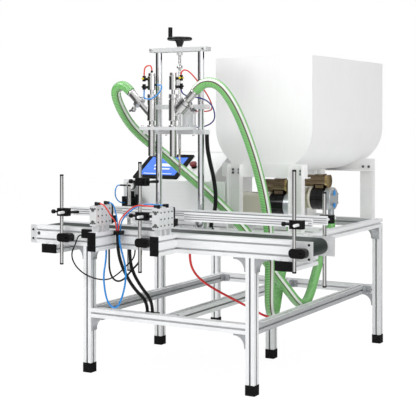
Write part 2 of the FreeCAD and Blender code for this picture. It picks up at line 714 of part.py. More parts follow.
def stop_body(beam_x):
    """Twin rod cylinder body standing on its beam, with bored guides and end plate feet."""
    x = stop_x(beam_x)
    back = -STOP_BACK_OFFSET
    front = back - STOP_LENGTH
    low = CONVEYOR_TOP + STOP_FOOT_HEIGHT
    high = low + STOP_HEIGHT - STOP_FOOT_HEIGHT
    half = STOP_WIDTH / 2
    body = block(x - half, x + half, front, back, low, high)
    edges = [e for e in body.Edges if abs(e.tangentAt(0).y) > 0.9]
    body = body.makeFillet(5.0, edges)
    middle = (low + high) / 2
    bores = [
        rod_y(STOP_ROD_RADIUS + STOP_ROD_GAP, front - 1, back + 1, x, middle - STOP_ROD_PITCH / 2),
        rod_y(STOP_ROD_RADIUS + STOP_ROD_GAP, front - 1, back + 1, x, middle + STOP_ROD_PITCH / 2),
        rod_y(STOP_PISTON_ROD_RADIUS + STOP_ROD_GAP, front + 20, back + 1, x, middle),
    ]
    body = cut(body, bores)
    side = x + half
    for step in (0.28, 0.5, 0.72):
        y = front + STOP_LENGTH * step
        groove = block(side - 2.5, side + 1, y - 3, y + 3, low + 10, high - 10)
        body = body.cut(groove)
    feet = []
    for step in (0.12, 0.42, 0.78):
        y = front + STOP_LENGTH * step
        feet.append(block(x - half + 3, x + half - 3, y, y + 12, CONVEYOR_TOP, low + 0.0))
    return fuse([body] + feet)


def stop_slide(beam_x):
    """Two guide rods and a piston rod screwed into a tool plate with its bottle finger."""
    x = stop_x(beam_x)
    back = -STOP_BACK_OFFSET
    front = back - STOP_LENGTH
    low = CONVEYOR_TOP + STOP_FOOT_HEIGHT
    high = low + STOP_HEIGHT - STOP_FOOT_HEIGHT
    middle = (low + high) / 2
    plate_front = back + STOP_PLATE_CLEAR
    plate_back = plate_front + STOP_PLATE_THICK
    half = STOP_WIDTH / 2
    plate = block(x - half, x + half, plate_front, plate_back, low + 2, high)
    edges = [e for e in plate.Edges if abs(e.tangentAt(0).y) > 0.9]
    plate = plate.makeFillet(4.0, edges)
    rods = []
    for z in (middle - STOP_ROD_PITCH / 2, middle + STOP_ROD_PITCH / 2):
        rods.append(rod_y(STOP_ROD_RADIUS, front - 2.0, plate_back, x, z))
    rod_end = back - STOP_STROKE - STOP_ROD_LAP
    rods.append(rod_y(STOP_PISTON_ROD_RADIUS, rod_end, plate_back, x, middle))
    finger = block(x - STOP_FINGER_WIDTH / 2, x + STOP_FINGER_WIDTH / 2, plate_back,
                   plate_back + STOP_FINGER_LENGTH, low + 4, low + 34)
    return fuse([plate, finger] + rods)


def air_fittings():
    """Push-in elbows on top of each stop."""
    pieces = []
    high = CONVEYOR_TOP + STOP_HEIGHT
    for beam_x in (GATE_BEAM_1_X, GATE_BEAM_2_X):
        x = stop_x(beam_x)
        front = -STOP_BACK_OFFSET - STOP_LENGTH
        for step in (0.2, 0.8):
            y = front + STOP_LENGTH * step
            stem = rod_z(PUSH_FITTING_RADIUS, high, high + PUSH_FITTING_HEIGHT, x, y)
            z = high + PUSH_FITTING_HEIGHT - PUSH_FITTING_RADIUS
            arm = rod_x(PUSH_FITTING_RADIUS - 0.5, x, x + PUSH_ELBOW_LENGTH, y, z)
            if beam_x == GATE_BEAM_2_X:
                arm = rod_x(PUSH_FITTING_RADIUS - 0.5, x - PUSH_ELBOW_LENGTH, x, y, z)
            pieces.append(fuse([stem, arm]))
    return pieces


def front_posts():
    """Places of the three posts in front of the conveyor: x, low and high end."""
    return [
        (POST_1_X, POST_1_BOTTOM, POST_1_TOP),
        (POST_2_X, POST_2_BOTTOM, POST_2_TOP),
        (POST_3_X, POST_3_BOTTOM, POST_3_TOP),
    ]


def guide_posts():
    """Polished posts with a waisted end, three in front and two behind the conveyor."""
    posts = []
    front_y = -POST_STAND_OFF
    rear_y = CONVEYOR_WIDTH + POST_STAND_OFF
    places = [(x, front_y, low, high) for x, low, high in front_posts()]
    places.append((POST_REAR_X, rear_y, POST_REAR_BOTTOM, POST_REAR_TOP))
    places.append((POST_REAR_LEFT_X, rear_y, POST_REAR_BOTTOM, POST_REAR_TOP))
    for x, y, low, high in places:
        post = rod_z(POST_RADIUS, low, high, x, y)
        rims = [e for e in post.Edges if isinstance(e.Curve, Part.Circle)]
        posts.append(post.makeChamfer(1.5, rims))
    return posts


def rail_clamp(x, front, side):
    """Black post clamp bolted to a side profile: rounded ends, post bore and screw head."""
    y0 = -CLAMP_THICK if front else CONVEYOR_WIDTH
    y1 = 0.0 if front else CONVEYOR_WIDTH + CLAMP_THICK
    post_y = -POST_STAND_OFF if front else CONVEYOR_WIDTH + POST_STAND_OFF
    z0 = CONVEYOR_BOTTOM + 16.0
    z1 = z0 + CLAMP_HEIGHT
    end = (CLAMP_WIDTH - CLAMP_SCREW_OFFSET) / 2
    x0 = x - end if side > 0 else x - end - CLAMP_SCREW_OFFSET
    body = block(x0, x0 + CLAMP_WIDTH, y0, y1, z0, z1)
    edges = [e for e in body.Edges if abs(e.tangentAt(0).y) > 0.9]
    body = body.makeFillet(CLAMP_HEIGHT * 0.42, edges)
    bore = rod_z(POST_RADIUS, z0 - 1, z1 + 1, x, post_y)
    middle = (z0 + z1) / 2
    head_y = y0 if front else y1
    depth = 5.0
    screw_x = x + side * CLAMP_SCREW_OFFSET
    well = rod_y(5.5, head_y - 1, head_y + depth, screw_x, middle)
    if not front:
        well = rod_y(5.5, head_y - depth, head_y + 1, screw_x, middle)
    return cut(body, [bore, well])


def cross_clamp(x, front, z, travel_gap):
    """Clamp on a post that holds a cross rod over the lane."""
    post_y = -POST_STAND_OFF if front else CONVEYOR_WIDTH + POST_STAND_OFF
    half = 17.0
    length = 24.0
    body = block(x - half, x + half + length, post_y - half, post_y + half, z - half, z + half)
    edges = [e for e in body.Edges if abs(e.tangentAt(0).z) > 0.9]
    body = body.makeFillet(7.0, edges)
    bore = rod_z(POST_RADIUS + travel_gap, z - half - 1, z + half + 1, x, post_y)
    rod_hole = rod_y(GUIDE_ROD_RADIUS, post_y - half - 1, post_y + half + 1, x + 24.0, z)
    lever = rod_x(CROSS_SCREW_RADIUS, x - half - CROSS_SCREW_LENGTH, x - half, post_y, z)
    knob_end = x - half - CROSS_SCREW_LENGTH
    knob = rod_x(CROSS_KNOB_RADIUS, knob_end - CROSS_KNOB_LENGTH, knob_end, post_y, z)
    rims = [e for e in knob.Edges if isinstance(e.Curve, Part.Circle)]
    knob = knob.makeFillet(3.0, rims)
    parts = [body, lever, knob]
    if x < POST_3_X:
        parts.append(clamp_handle(x + half + length, post_y, z))
    return cut(fuse(parts), [bore, rod_hole])


def clamp_handle(x, y, z):
    """Tapered clamping handle that points along the conveyor, with a ball at its end."""
    base = rod_x(CROSS_SCREW_RADIUS + 2.0, x - 2.0, x + 8.0, y, z)
    arm = Part.makeCone(CROSS_SCREW_RADIUS, CROSS_SCREW_RADIUS + 2.0, HANDLE_LENGTH, V(x + 4.0, y, z),
                        V(1, 0, HANDLE_LEAN))
    tip = V(x + 4.0, y, z) + V(1, 0, HANDLE_LEAN).normalize() * HANDLE_LENGTH
    ball = Part.makeSphere(CROSS_SCREW_RADIUS + 2.5, tip)
    return fuse([base, arm, ball])


def guide_rod_z():
    """Height of the cross rods, level with the middle of the guide rail."""
    return GUIDE_BOTTOM + GUIDE_HEIGHT / 2


def front_guide_clamps():
    """Cross clamps on the three front posts, which slide together with the guide rails."""
    z = guide_rod_z()
    return [cross_clamp(x, True, z, STOP_ROD_GAP) for x, low, high in front_posts()]


def high_clamp():
    """Spare cross clamp high on the middle post, with a short rod along the conveyor."""
    body = cross_clamp(POST_2_X, True, HIGH_CLAMP_Z, 0.0)
    rod = rod_y(GUIDE_ROD_RADIUS, -POST_STAND_OFF - 40.0, -POST_STAND_OFF + 17.0, POST_2_X + 24.0,
                HIGH_CLAMP_Z)
    return [body, rod]


def guide_bar(x0, x1, y_face, away):
    """Grooved guide bar; away is +1 when its back faces the operator's side."""
    y0 = y_face - GUIDE_THICK if away > 0 else y_face
    y1 = y0 + GUIDE_THICK
    z0 = GUIDE_BOTTOM
    bar = block(x0, x1, y0, y1, z0, z0 + GUIDE_HEIGHT)
    tools = []
    for step in (0.25, 0.5, 0.75):
        z = z0 + GUIDE_HEIGHT * step
        tools.append(block(x0 - 1, x1 + 1, y0 - 1, y0 + GUIDE_GROOVE, z - 2, z + 2))
    return cut(bar, tools)


def front_guide_rails():
    """Guide bars in front of the lane, each with the cross rods screwed into its back."""
    face = LANE_FRONT_Y + 12.0
    gap = GUIDE_GATE_GAP
    half = STOP_WIDTH / 2
    stop_1 = stop_x(GATE_BEAM_1_X)
    stop_2 = stop_x(GATE_BEAM_2_X)
    spans = [
        (POST_1_X - 6.0, stop_1 - half - gap, POST_1_X),
        (stop_1 + half + gap, stop_2 - half - gap, POST_2_X),
        (stop_2 + half + gap, POST_3_X + 44.0, POST_3_X),
    ]
    bars = []
    rod_start = -POST_STAND_OFF - 17.0 - GUIDE_ROD_OVERRUN
    for x0, x1, post in spans:
        bar = guide_bar(x0, x1, face, 1)
        rod = rod_y(GUIDE_ROD_RADIUS, rod_start, face - GUIDE_THICK / 2, post + 24.0, guide_rod_z())
        bars.append(fuse([bar, rod]))
    return bars


def rear_guide_rail():
    """Guide bar behind the lane on its two cross rods."""
    face = LANE_BACK_Y - 12.0
    x0 = POST_REAR_LEFT_X - 80.0
    x1 = POST_REAR_X + 44.0
    bar = guide_bar(x0, x1, face, -1)
    rod_end = CONVEYOR_WIDTH + POST_STAND_OFF + 17.0 + GUIDE_ROD_OVERRUN
    rods = []
    for x in (POST_REAR_LEFT_X + 24.0, POST_REAR_X + 24.0):
        rods.append(rod_y(GUIDE_ROD_RADIUS, face + GUIDE_THICK / 2, rod_end, x, guide_rod_z()))
    return fuse([bar] + rods)


def rail_clamps():
    """Every fixed clamp: five on the side profiles and the two of the rear guide."""
    pieces = [rail_clamp(x, True, 1) for x, low, high in front_posts()]
    pieces.append(rail_clamp(POST_REAR_X, False, -1))
    pieces.append(rail_clamp(POST_REAR_LEFT_X, False, -1))
    z = guide_rod_z()
    pieces.append(cross_clamp(POST_REAR_X, False, z, 0.0))
    pieces.append(cross_clamp(POST_REAR_LEFT_X, False, z, 0.0))
    pieces += high_clamp()
    return pieces


def gantry_base():
    """Base plate across the two support beams, with a split collar for each column."""
    y0 = GANTRY_Y - BASE_WIDTH / 2
    y1 = GANTRY_Y + BASE_WIDTH / 2
    plate = block(COLUMN_LEFT_X - BASE_END, COLUMN_RIGHT_X + BASE_END, y0, y1, BASE_BOTTOM, BASE_TOP)
    collars = []
    bores = []
    for x in (COLUMN_LEFT_X, COLUMN_RIGHT_X):
        collars.append(rod_z(BASE_COLLAR_RADIUS, BASE_BOTTOM, BASE_TOP + BASE_COLLAR_HEIGHT, x, GANTRY_Y))
        bores.append(rod_z(COLUMN_RADIUS, BASE_BOTTOM + 4, GANTRY_TOP, x, GANTRY_Y))
        high = BASE_TOP + BASE_COLLAR_HEIGHT
        bores.append(block(x - SPLIT_GAP / 2, x + SPLIT_GAP / 2, y0 - 30, GANTRY_Y, BASE_TOP + 2, high + 1))
    return cut(fuse([plate] + collars), bores)


def columns():
    """Two chromed guide columns."""
    pair = []
    for x in (COLUMN_LEFT_X, COLUMN_RIGHT_X):
        pair.append(rod_z(COLUMN_RADIUS, BASE_BOTTOM + 4, GANTRY_TOP, x, GANTRY_Y))
    return pair


def top_plate():
    """Yoke on the columns, split at both ends, with the screw bushes above and below."""
    y0 = GANTRY_Y - TOP_PLATE_DEPTH / 2
    y1 = GANTRY_Y + TOP_PLATE_DEPTH / 2
    x0 = COLUMN_LEFT_X - TOP_PLATE_END
    x1 = COLUMN_RIGHT_X + TOP_PLATE_END
    plate = block(x0, x1, y0, y1, TOP_PLATE_BOTTOM, GANTRY_TOP)
    edges = [e for e in plate.Edges if abs(e.tangentAt(0).z) > 0.9]
    plate = plate.makeFillet(6.0, edges)
    low_bush = rod_z(BUSH_RADIUS, TOP_PLATE_BOTTOM - BUSH_HEIGHT, TOP_PLATE_BOTTOM, GANTRY_X, GANTRY_Y)
    high_bush = rod_z(BUSH_RADIUS, GANTRY_TOP, GANTRY_TOP + 4, GANTRY_X, GANTRY_Y)
    tools = [rod_z(SCREW_RADIUS + SCREW_RUN_GAP, TOP_PLATE_BOTTOM - 30, GANTRY_TOP + 30,
                   GANTRY_X, GANTRY_Y)]
    for x, edge in ((COLUMN_LEFT_X, x0), (COLUMN_RIGHT_X, x1)):
        tools.append(rod_z(COLUMN_RADIUS, TOP_PLATE_BOTTOM - 1, GANTRY_TOP + 1, x, GANTRY_Y))
        low = min(x, edge) - 1
        high = max(x, edge) + 1
        tools.append(block(low, high, GANTRY_Y - SPLIT_GAP / 2, GANTRY_Y + SPLIT_GAP / 2,
                           TOP_PLATE_BOTTOM - 1, GANTRY_TOP + 1))
    return cut(fuse([plate, low_bush, high_bush]), tools)


def screw_bottom_of_wheel():
    """Height where the wheel hub sits on the upper bush."""
    return GANTRY_TOP + 4 + 0.3


def lead_screw():
    """Lifting screw with a shoulder collar, a threaded length and a turned down tail."""
    top = WHEEL_HEIGHT + 4
    thread = rod_z(SCREW_RADIUS, THREAD_BOTTOM, top, GANTRY_X, GANTRY_Y)
    tail = rod_z(SCREW_CORE_RADIUS, SCREW_BOTTOM, THREAD_BOTTOM, GANTRY_X, GANTRY_Y)
    collar = rod_z(STOP_COLLAR_RADIUS, STOP_COLLAR_Z, STOP_COLLAR_Z + STOP_COLLAR_HEIGHT,
                   GANTRY_X, GANTRY_Y)
    rims = [e for e in collar.Edges if isinstance(e.Curve, Part.Circle)]
    collar = collar.makeChamfer(3.0, rims)
    return fuse([thread, tail, collar])


def handwheel():
    """Ring wheel with three spokes on a tapered hub, bored for the screw."""
    centre = V(GANTRY_X, GANTRY_Y, WHEEL_HEIGHT)
    ring_radius = WHEEL_RADIUS - WHEEL_RIM_RADIUS
    rim = Part.makeTorus(ring_radius, WHEEL_RIM_RADIUS, centre, V(0, 0, 1))
    bottom = screw_bottom_of_wheel()
    cone = Part.makeCone(WHEEL_HUB_RADIUS - 4, WHEEL_HUB_RADIUS + 7, WHEEL_HEIGHT - 4 - bottom,
                         V(GANTRY_X, GANTRY_Y, bottom), V(0, 0, 1))
    hub = rod_z(WHEEL_HUB_RADIUS, WHEEL_HEIGHT - 6, WHEEL_HEIGHT + 9, GANTRY_X, GANTRY_Y)
    spokes = []
    for index in range(3):
        angle = math.radians(180 + 120 * index)
        along = V(math.cos(angle), math.sin(angle), 0)
        spokes.append(Part.makeCylinder(WHEEL_SPOKE_RADIUS, ring_radius, centre, along))
    pin = rod_z(GRIP_PIN_RADIUS, WHEEL_HEIGHT, WHEEL_HEIGHT + WHEEL_RIM_RADIUS + GRIP_LENGTH - 4,
                GANTRY_X - ring_radius, GANTRY_Y)
    bore = rod_z(SCREW_RADIUS, bottom - 1, WHEEL_HEIGHT + 4, GANTRY_X, GANTRY_Y)
    return fuse([rim, cone, hub, pin] + spokes).cut(bore)


def crank_grip():
    """Turning grip on the wheel rim."""
    x = GANTRY_X - WHEEL_RADIUS + WHEEL_RIM_RADIUS
    low = WHEEL_HEIGHT + WHEEL_RIM_RADIUS + 0.4
    high = low + GRIP_LENGTH
    body = rod_z(GRIP_RADIUS, low, high, x, GANTRY_Y)
    rims = [e for e in body.Edges if isinstance(e.Curve, Part.Circle)]
    body = body.makeFillet(2.0, rims)
    bore = rod_z(GRIP_PIN_RADIUS + GRIP_GAP, low - 1, high - 3.6, x, GANTRY_Y)
    return body.cut(bore)


def carriage_bars():
    """Upper and lower bars that slide on both columns and carry the screw nut."""
    y0 = GANTRY_Y - BAR_DEPTH / 2
    y1 = GANTRY_Y + BAR_DEPTH / 2
    bars = []
    spans = [
        (COLUMN_LEFT_X - BAR_END, UPPER_BAR_BOTTOM),
        (COLUMN_LEFT_X - LOWER_BAR_LEFT_END, LOWER_BAR_BOTTOM),
    ]
    for x0, z0 in spans:
        bar = block(x0, COLUMN_RIGHT_X + BAR_END, y0, y1, z0, z0 + BAR_THICK)
        edges = [e for e in bar.Edges if abs(e.tangentAt(0).z) > 0.9]
        bar = bar.makeFillet(5.0, edges)
        tools = []
        for x in (COLUMN_LEFT_X, COLUMN_RIGHT_X):
            tools.append(rod_z(COLUMN_RADIUS + COLUMN_RUN_GAP, z0 - 1, z0 + BAR_THICK + 1, x, GANTRY_Y))
        tools.append(rod_z(SCREW_RADIUS + SCREW_RUN_GAP, z0 - 1, z0 + BAR_THICK + 1, GANTRY_X, GANTRY_Y))
        bars.append(cut(bar, tools))
    return bars


def dive_cylinder_x():
    """Middle of the tie rod cylinder, right of the screw."""
    return GANTRY_X + SCREW_RADIUS + 8.0 + DIVE_END_SIZE / 2


def dive_cylinder():
    """Square ended cylinder with four tie rods between the two bars."""
    x = dive_cylinder_x()
    half = DIVE_END_SIZE / 2
    y = GANTRY_Y
    low = LOWER_BAR_TOP
    high = UPPER_BAR_BOTTOM
    ends = [
        block(x - half, x + half, y - half, y + half, low, low + DIVE_END_THICK),
        block(x - half, x + half, y - half, y + half, high - DIVE_END_THICK, high),
    ]
    barrel = rod_z(DIVE_CYLINDER_RADIUS, low, high, x, y)
    rods = []
    offset = half - TIE_ROD_RADIUS - 2.0
    for sx in (-1, 1):
        for sy in (-1, 1):
            rods.append(rod_z(TIE_ROD_RADIUS, low, high, x + sx * offset, y + sy * offset))
    return fuse(ends + [barrel] + rods)


def valve_places():
    """X of the left and right filling valve with the way its inlet leans."""
    return [(VALVE_X, -1), (VALVE_X + VALVE_PITCH, 1)]


def nozzle_plate():
    """Front plate clamped on the lower bar, bored for both nozzle tubes."""
    x0 = VALVE_X - NOZZLE_RADIUS - NOZZLE_PLATE_END
    x1 = VALVE_X + VALVE_PITCH + NOZZLE_RADIUS + NOZZLE_PLATE_RIGHT_END
    y0 = VALVE_Y - NOZZLE_RADIUS - NOZZLE_PLATE_END
    y1 = GANTRY_Y - DIVE_END_SIZE / 2 - 2.0
    plate = block(x0, x1, y0, y1, LOWER_BAR_TOP, PLATE_TOP)
    edges = [e for e in plate.Edges if abs(e.tangentAt(0).z) > 0.9]
    plate = plate.makeFillet(6.0, edges)
    web_y0 = GANTRY_Y - BAR_DEPTH / 2 - 12.0
    web = block(x0 + 8, x1 - 8, web_y0, GANTRY_Y - BAR_DEPTH / 2, LOWER_BAR_BOTTOM, LOWER_BAR_TOP)
    holes = []
    for x, lean in valve_places():
        holes.append(rod_z(NOZZLE_RADIUS, LOWER_BAR_BOTTOM - 1, PLATE_TOP + 1, x, VALVE_Y))
    return cut(fuse([plate, web]), holes)


def inlet_axis(lean):
    """Unit vector along a valve's inlet branch."""
    angle = math.radians(INLET_ANGLE)
    return V(lean * math.sin(angle), 0, math.cos(angle))


def filling_valves():
    """Turned valve bodies with a union below and a packing gland above."""
    bodies = []
    for x, lean in valve_places():
        outline = [
            (0, PLATE_TOP), (UNION_RADIUS + 4, PLATE_TOP), (UNION_RADIUS + 4, PLATE_TOP + 6),
            (UNION_RADIUS - 3, PLATE_TOP + 9), (UNION_RADIUS - 3, VALVE_BOTTOM - 9),
            (UNION_RADIUS + 4, VALVE_BOTTOM - 6), (UNION_RADIUS + 4, VALVE_BOTTOM),
            (VALVE_RADIUS, VALVE_BOTTOM), (VALVE_RADIUS, VALVE_TOP - 26),
            (VALVE_RADIUS - 3, VALVE_TOP - 24), (VALVE_RADIUS - 3, VALVE_TOP - 20),
            (VALVE_RADIUS, VALVE_TOP - 18), (VALVE_RADIUS, VALVE_TOP - 3),
            (VALVE_RADIUS - 3, VALVE_TOP), (0, VALVE_TOP),
        ]
        points = [V(x + r, VALVE_Y, z) for r, z in outline]
        points.append(points[0])
        face = Part.Face(Part.makePolygon(points))
        turned = face.revolve(V(x, VALVE_Y, 0), V(0, 0, 1), 360)
        bodies.append(turned)
    return bodies


def inlet_branches():
    """Branch pipes that leave each valve body at an angle and end in a ribbed hose tail."""
    pieces = []
    for x, lean in valve_places():
        axis = inlet_axis(lean)
        base = V(x, VALVE_Y, INLET_BASE_Z)
        tail_start = base + axis * CLAMP_RING_DISTANCE
        tail = Part.makeCylinder(TAIL_RADIUS, TAIL_LENGTH, tail_start, axis)
        link = Part.makeCylinder(INLET_RADIUS, CLAMP_RING_DISTANCE, base, axis)
        items = [link, tail]
        if lean > 0:
            start = base + axis * CHECK_BODY_DISTANCE
            items.append(Part.makeCylinder(CHECK_BODY_RADIUS, CHECK_BODY_LENGTH, start, axis))
        branch = fuse(items)
        body = rod_z(VALVE_RADIUS, VALVE_BOTTOM, VALVE_TOP, x, VALVE_Y)
        neck = rod_z(UNION_RADIUS + 4, PLATE_TOP, VALVE_BOTTOM, x, VALVE_Y)
        pieces.append(cut(branch, [body, neck]))
    return pieces


def inlet_clamps():
    """Hinged pipe clamps with a wing nut, one on each inlet branch."""
    pieces = []
    for x, lean in valve_places():
        axis = inlet_axis(lean)
        base = V(x, VALVE_Y, INLET_BASE_Z)
        start = base + axis * (CLAMP_RING_DISTANCE - CLAMP_RING_WIDTH)
        ring = Part.makeCylinder(CLAMP_RING_RADIUS, CLAMP_RING_WIDTH, start, axis)
        hole = Part.makeCylinder(INLET_RADIUS, CLAMP_RING_WIDTH + 2, start - axis, axis)
        across = V(-lean * axis.z, 0, lean * axis.x) * -1.0
        middle = start + axis * (CLAMP_RING_WIDTH / 2)
        bolt = Part.makeCylinder(5.0, CLAMP_RING_RADIUS + WING_LENGTH * 0.7, middle, across)
        knob = Part.makeCylinder(11.0, 9.0, middle + across * (CLAMP_RING_RADIUS + 9.0), across)
        pieces.append(cut(fuse([ring, bolt, knob]), [hole]))
    return pieces


def valve_actuators():
    """Air actuators on their stems, with a screwed cap."""
    pieces = []
    for x, lean in valve_places():
        outline = [
            (0, VALVE_TOP), (STEM_RADIUS, VALVE_TOP), (STEM_RADIUS, ACTUATOR_BOTTOM),
            (ACTUATOR_RADIUS, ACTUATOR_BOTTOM), (ACTUATOR_RADIUS, ACTUATOR_TOP - 16),
            (ACTUATOR_RADIUS - 3, ACTUATOR_TOP - 14), (ACTUATOR_RADIUS - 3, ACTUATOR_TOP - 2),
            (ACTUATOR_RADIUS - 5, ACTUATOR_TOP), (0, ACTUATOR_TOP),
        ]
        points = [V(x + r, VALVE_Y, z) for r, z in outline]
        points.append(points[0])
        pieces.append(Part.Face(Part.makePolygon(points)).revolve(V(x, VALVE_Y, 0), V(0, 0, 1), 360))
    return pieces


def nozzle_tubes():
    """Filling tubes hung from the plate, open at the tip."""
    pieces = []
    for x, lean in valve_places():
        tube = rod_z(NOZZLE_RADIUS, NOZZLE_TIP, PLATE_TOP, x, VALVE_Y)
        bore = rod_z(NOZZLE_BORE, NOZZLE_TIP - 1, PLATE_TOP - 10, x, VALVE_Y)
        pieces.append(tube.cut(bore))
    return pieces


def speed_fittings():
    """Speed controllers screwed into the outer side of each actuator."""
    pieces = []
    for x, lean in valve_places():
        for z in (ACTUATOR_BOTTOM + 12.0, ACTUATOR_TOP - 26.0):
            x0 = x + lean * ACTUATOR_RADIUS
            x1 = x + lean * (ACTUATOR_RADIUS + 22.0)
            stem = rod_x(6.0, min(x0, x1), max(x0, x1), VALVE_Y, z)
            elbow_x = x1
            elbow = rod_z(7.5, z - 10.0, z + 14.0, elbow_x, VALVE_Y)
            seat = rod_z(ACTUATOR_RADIUS, ACTUATOR_BOTTOM, ACTUATOR_TOP, x, VALVE_Y)
            pieces.append(fuse([stem, elbow]).cut(seat))
    inner = inner_port()
    seat = rod_z(ACTUATOR_RADIUS, ACTUATOR_BOTTOM, ACTUATOR_TOP, VALVE_X, VALVE_Y)
    pieces.append(rod_x(PORT_STEM_RADIUS, VALVE_X, inner.x, VALVE_Y, inner.z).cut(seat))
    pieces.append(rod_z(PORT_STEM_RADIUS, ACTUATOR_TOP, ACTUATOR_TOP + PORT_STEM_LENGTH, VALVE_X, VALVE_Y))
    for port in dive_ports():
        face = GANTRY_Y + DIVE_END_SIZE / 2
        pieces.append(rod_y(PORT_STEM_RADIUS, face, port.y, port.x, port.z))
    return pieces


def inner_port():
    """End face of the fitting on the inner side of the left actuator."""
    return V(VALVE_X + ACTUATOR_RADIUS + PORT_STEM_LENGTH, VALVE_Y, ACTUATOR_BOTTOM + 22.0)


def dive_ports():
    """End faces of the fittings at the back of the dive cylinder's two ends."""
    y = GANTRY_Y + DIVE_END_SIZE / 2 + PORT_STEM_LENGTH
    x = dive_cylinder_x()
    return [V(x, y, UPPER_BAR_BOTTOM - DIVE_END_THICK / 2), V(x, y, LOWER_BAR_TOP + DIVE_END_THICK / 2)]


def trough_face(inset, y, top):
    """U section of the hopper: straight walls over half an ellipse, inset by the wall."""
    x0 = HOPPER_LEFT_X + inset
    x1 = HOPPER_RIGHT_X - inset
    spring = HOPPER_BOTTOM + HOPPER_TROUGH_RISE
    rise = HOPPER_TROUGH_RISE - inset
    half = (x1 - x0) / 2
    centre = V(HOPPER_MIDDLE_X, y, spring)
    right = V(x1, y, spring)
    bottom = V(HOPPER_MIDDLE_X, y, spring - rise)
    ellipse = Part.Ellipse(right, bottom, centre)
    half_turn = Part.ArcOfEllipse(ellipse, 0.0, math.pi)
    curve = half_turn.toShape()
    start = curve.Vertexes[0].Point
    end = curve.Vertexes[-1].Point
    lines = [
        Part.makeLine(end, V(end.x, y, top)),
        Part.makeLine(V(end.x, y, top), V(start.x, y, top)),
        Part.makeLine(V(start.x, y, top), start),
    ]
    return Part.Face(Part.Wire([curve] + lines))


def hopper():
    """Open trough of thin sheet with a folded rim and two outlet necks."""
    wall = HOPPER_WALL
    outer = trough_face(0.0, HOPPER_FRONT_Y, HOPPER_TOP).extrude(V(0, HOPPER_LENGTH, 0))
    inner = trough_face(wall, HOPPER_FRONT_Y + wall, HOPPER_TOP + 1)
    inner = inner.extrude(V(0, HOPPER_LENGTH - 2 * wall, 0))
    shell = outer.cut(inner)
    necks = []
    holes = []
    x = PUMP_BARREL_X + PUMP_BARREL_LENGTH / 2
    for y in (PUMP_FRONT_Y, PUMP_BACK_Y):
        low = PUMP_Z + PUMP_RADIUS + 2 * VALVE_BLOCK_RADIUS + VALVE_PAD_RISE
        necks.append(rod_z(OUTLET_RADIUS + 4, low, HOPPER_BOTTOM + 12.0, x, y))
        holes.append(rod_z(OUTLET_RADIUS, low - 1, HOPPER_BOTTOM + 40.0, x, y))
    necks = [neck.cut(inner) for neck in necks]
    return cut(fuse([shell] + necks), holes)


def beam_ends():
    """X range of the plates that carry the hopper."""
    return HOPPER_LEFT_X + BEAM_END, HOPPER_RIGHT_X - BEAM_END * 0.6


def hopper_beams():
    """Folded plates under the front and the back of the trough, cut to its curve."""
    x0, x1 = beam_ends()
    z1 = BEAM_PLATE_TOP
    z0 = z1 - BEAM_PLATE_HEIGHT
    thick = BEAM_PLATE_THICK
    trough = trough_face(0.0, HOPPER_FRONT_Y - 100, HOPPER_TOP)
    trough = trough.extrude(V(0, HOPPER_LENGTH + 200, 0))
    front = HOPPER_FRONT_Y - thick
    plate = block(x0, x1, front, front + thick, z0, z1)
    flange = block(x0, x1, front, front + BEAM_FLANGE, z0, z0 + thick)
    flange = flange.cut(trough)
    pieces = [fuse([plate, flange])]
    rear = REAR_BEAM_Y
    x2 = x1 + REAR_LEG_SHIFT
    back_plate = block(x0, x2, rear, rear + thick, z0, z1).cut(trough)
    back_flange = block(x0, x2, rear - BEAM_FLANGE, rear + thick, z0, z0 + thick).cut(trough)
    pieces.append(fuse([back_plate, back_flange]))
    return pieces


def leg_channel(x, y_web, outward):
    """Upright channel with its web against a hopper plate, slotted, cut to the trough."""
    low = UPPER_FRAME_TOP
    high = BEAM_PLATE_TOP - 6.0
    half = LEG_CHANNEL_WIDTH / 2
    wall = LEG_CHANNEL_WALL
    near = y_web
    far = y_web + outward * LEG_CHANNEL_DEPTH
    y0 = min(near, far)
    y1 = max(near, far)
    outer = block(x - half, x + half, y0, y1, low, high)
    if outward > 0:
        room = block(x - half + wall, x + half - wall, y0 + wall, y1 + 1, low - 1, high + 1)
    else:
        room = block(x - half + wall, x + half - wall, y0 - 1, y1 - wall, low - 1, high + 1)
    foot = block(x - half, x + half, y0, y1, low, low + wall)
    channel = fuse([outer.cut(room), foot])
    slots = []
    for offset in (-LEG_BOLT_OFFSET, LEG_BOLT_OFFSET):
        slots.append(block(x + offset - 3, x + offset + 3, y0 - 1, y1 + 1, high - 44, high - 12))
    trough = trough_face(0.0, HOPPER_FRONT_Y, HOPPER_TOP).extrude(V(0, HOPPER_LENGTH, 0))
    return cut(channel, slots + [trough])


def leg_xs():
    """X of the hopper legs."""
    x0, x1 = beam_ends()
    inset = LEG_CHANNEL_INSET + LEG_CHANNEL_WIDTH / 2
    return (x0 + inset + 28.0, x1 - inset)


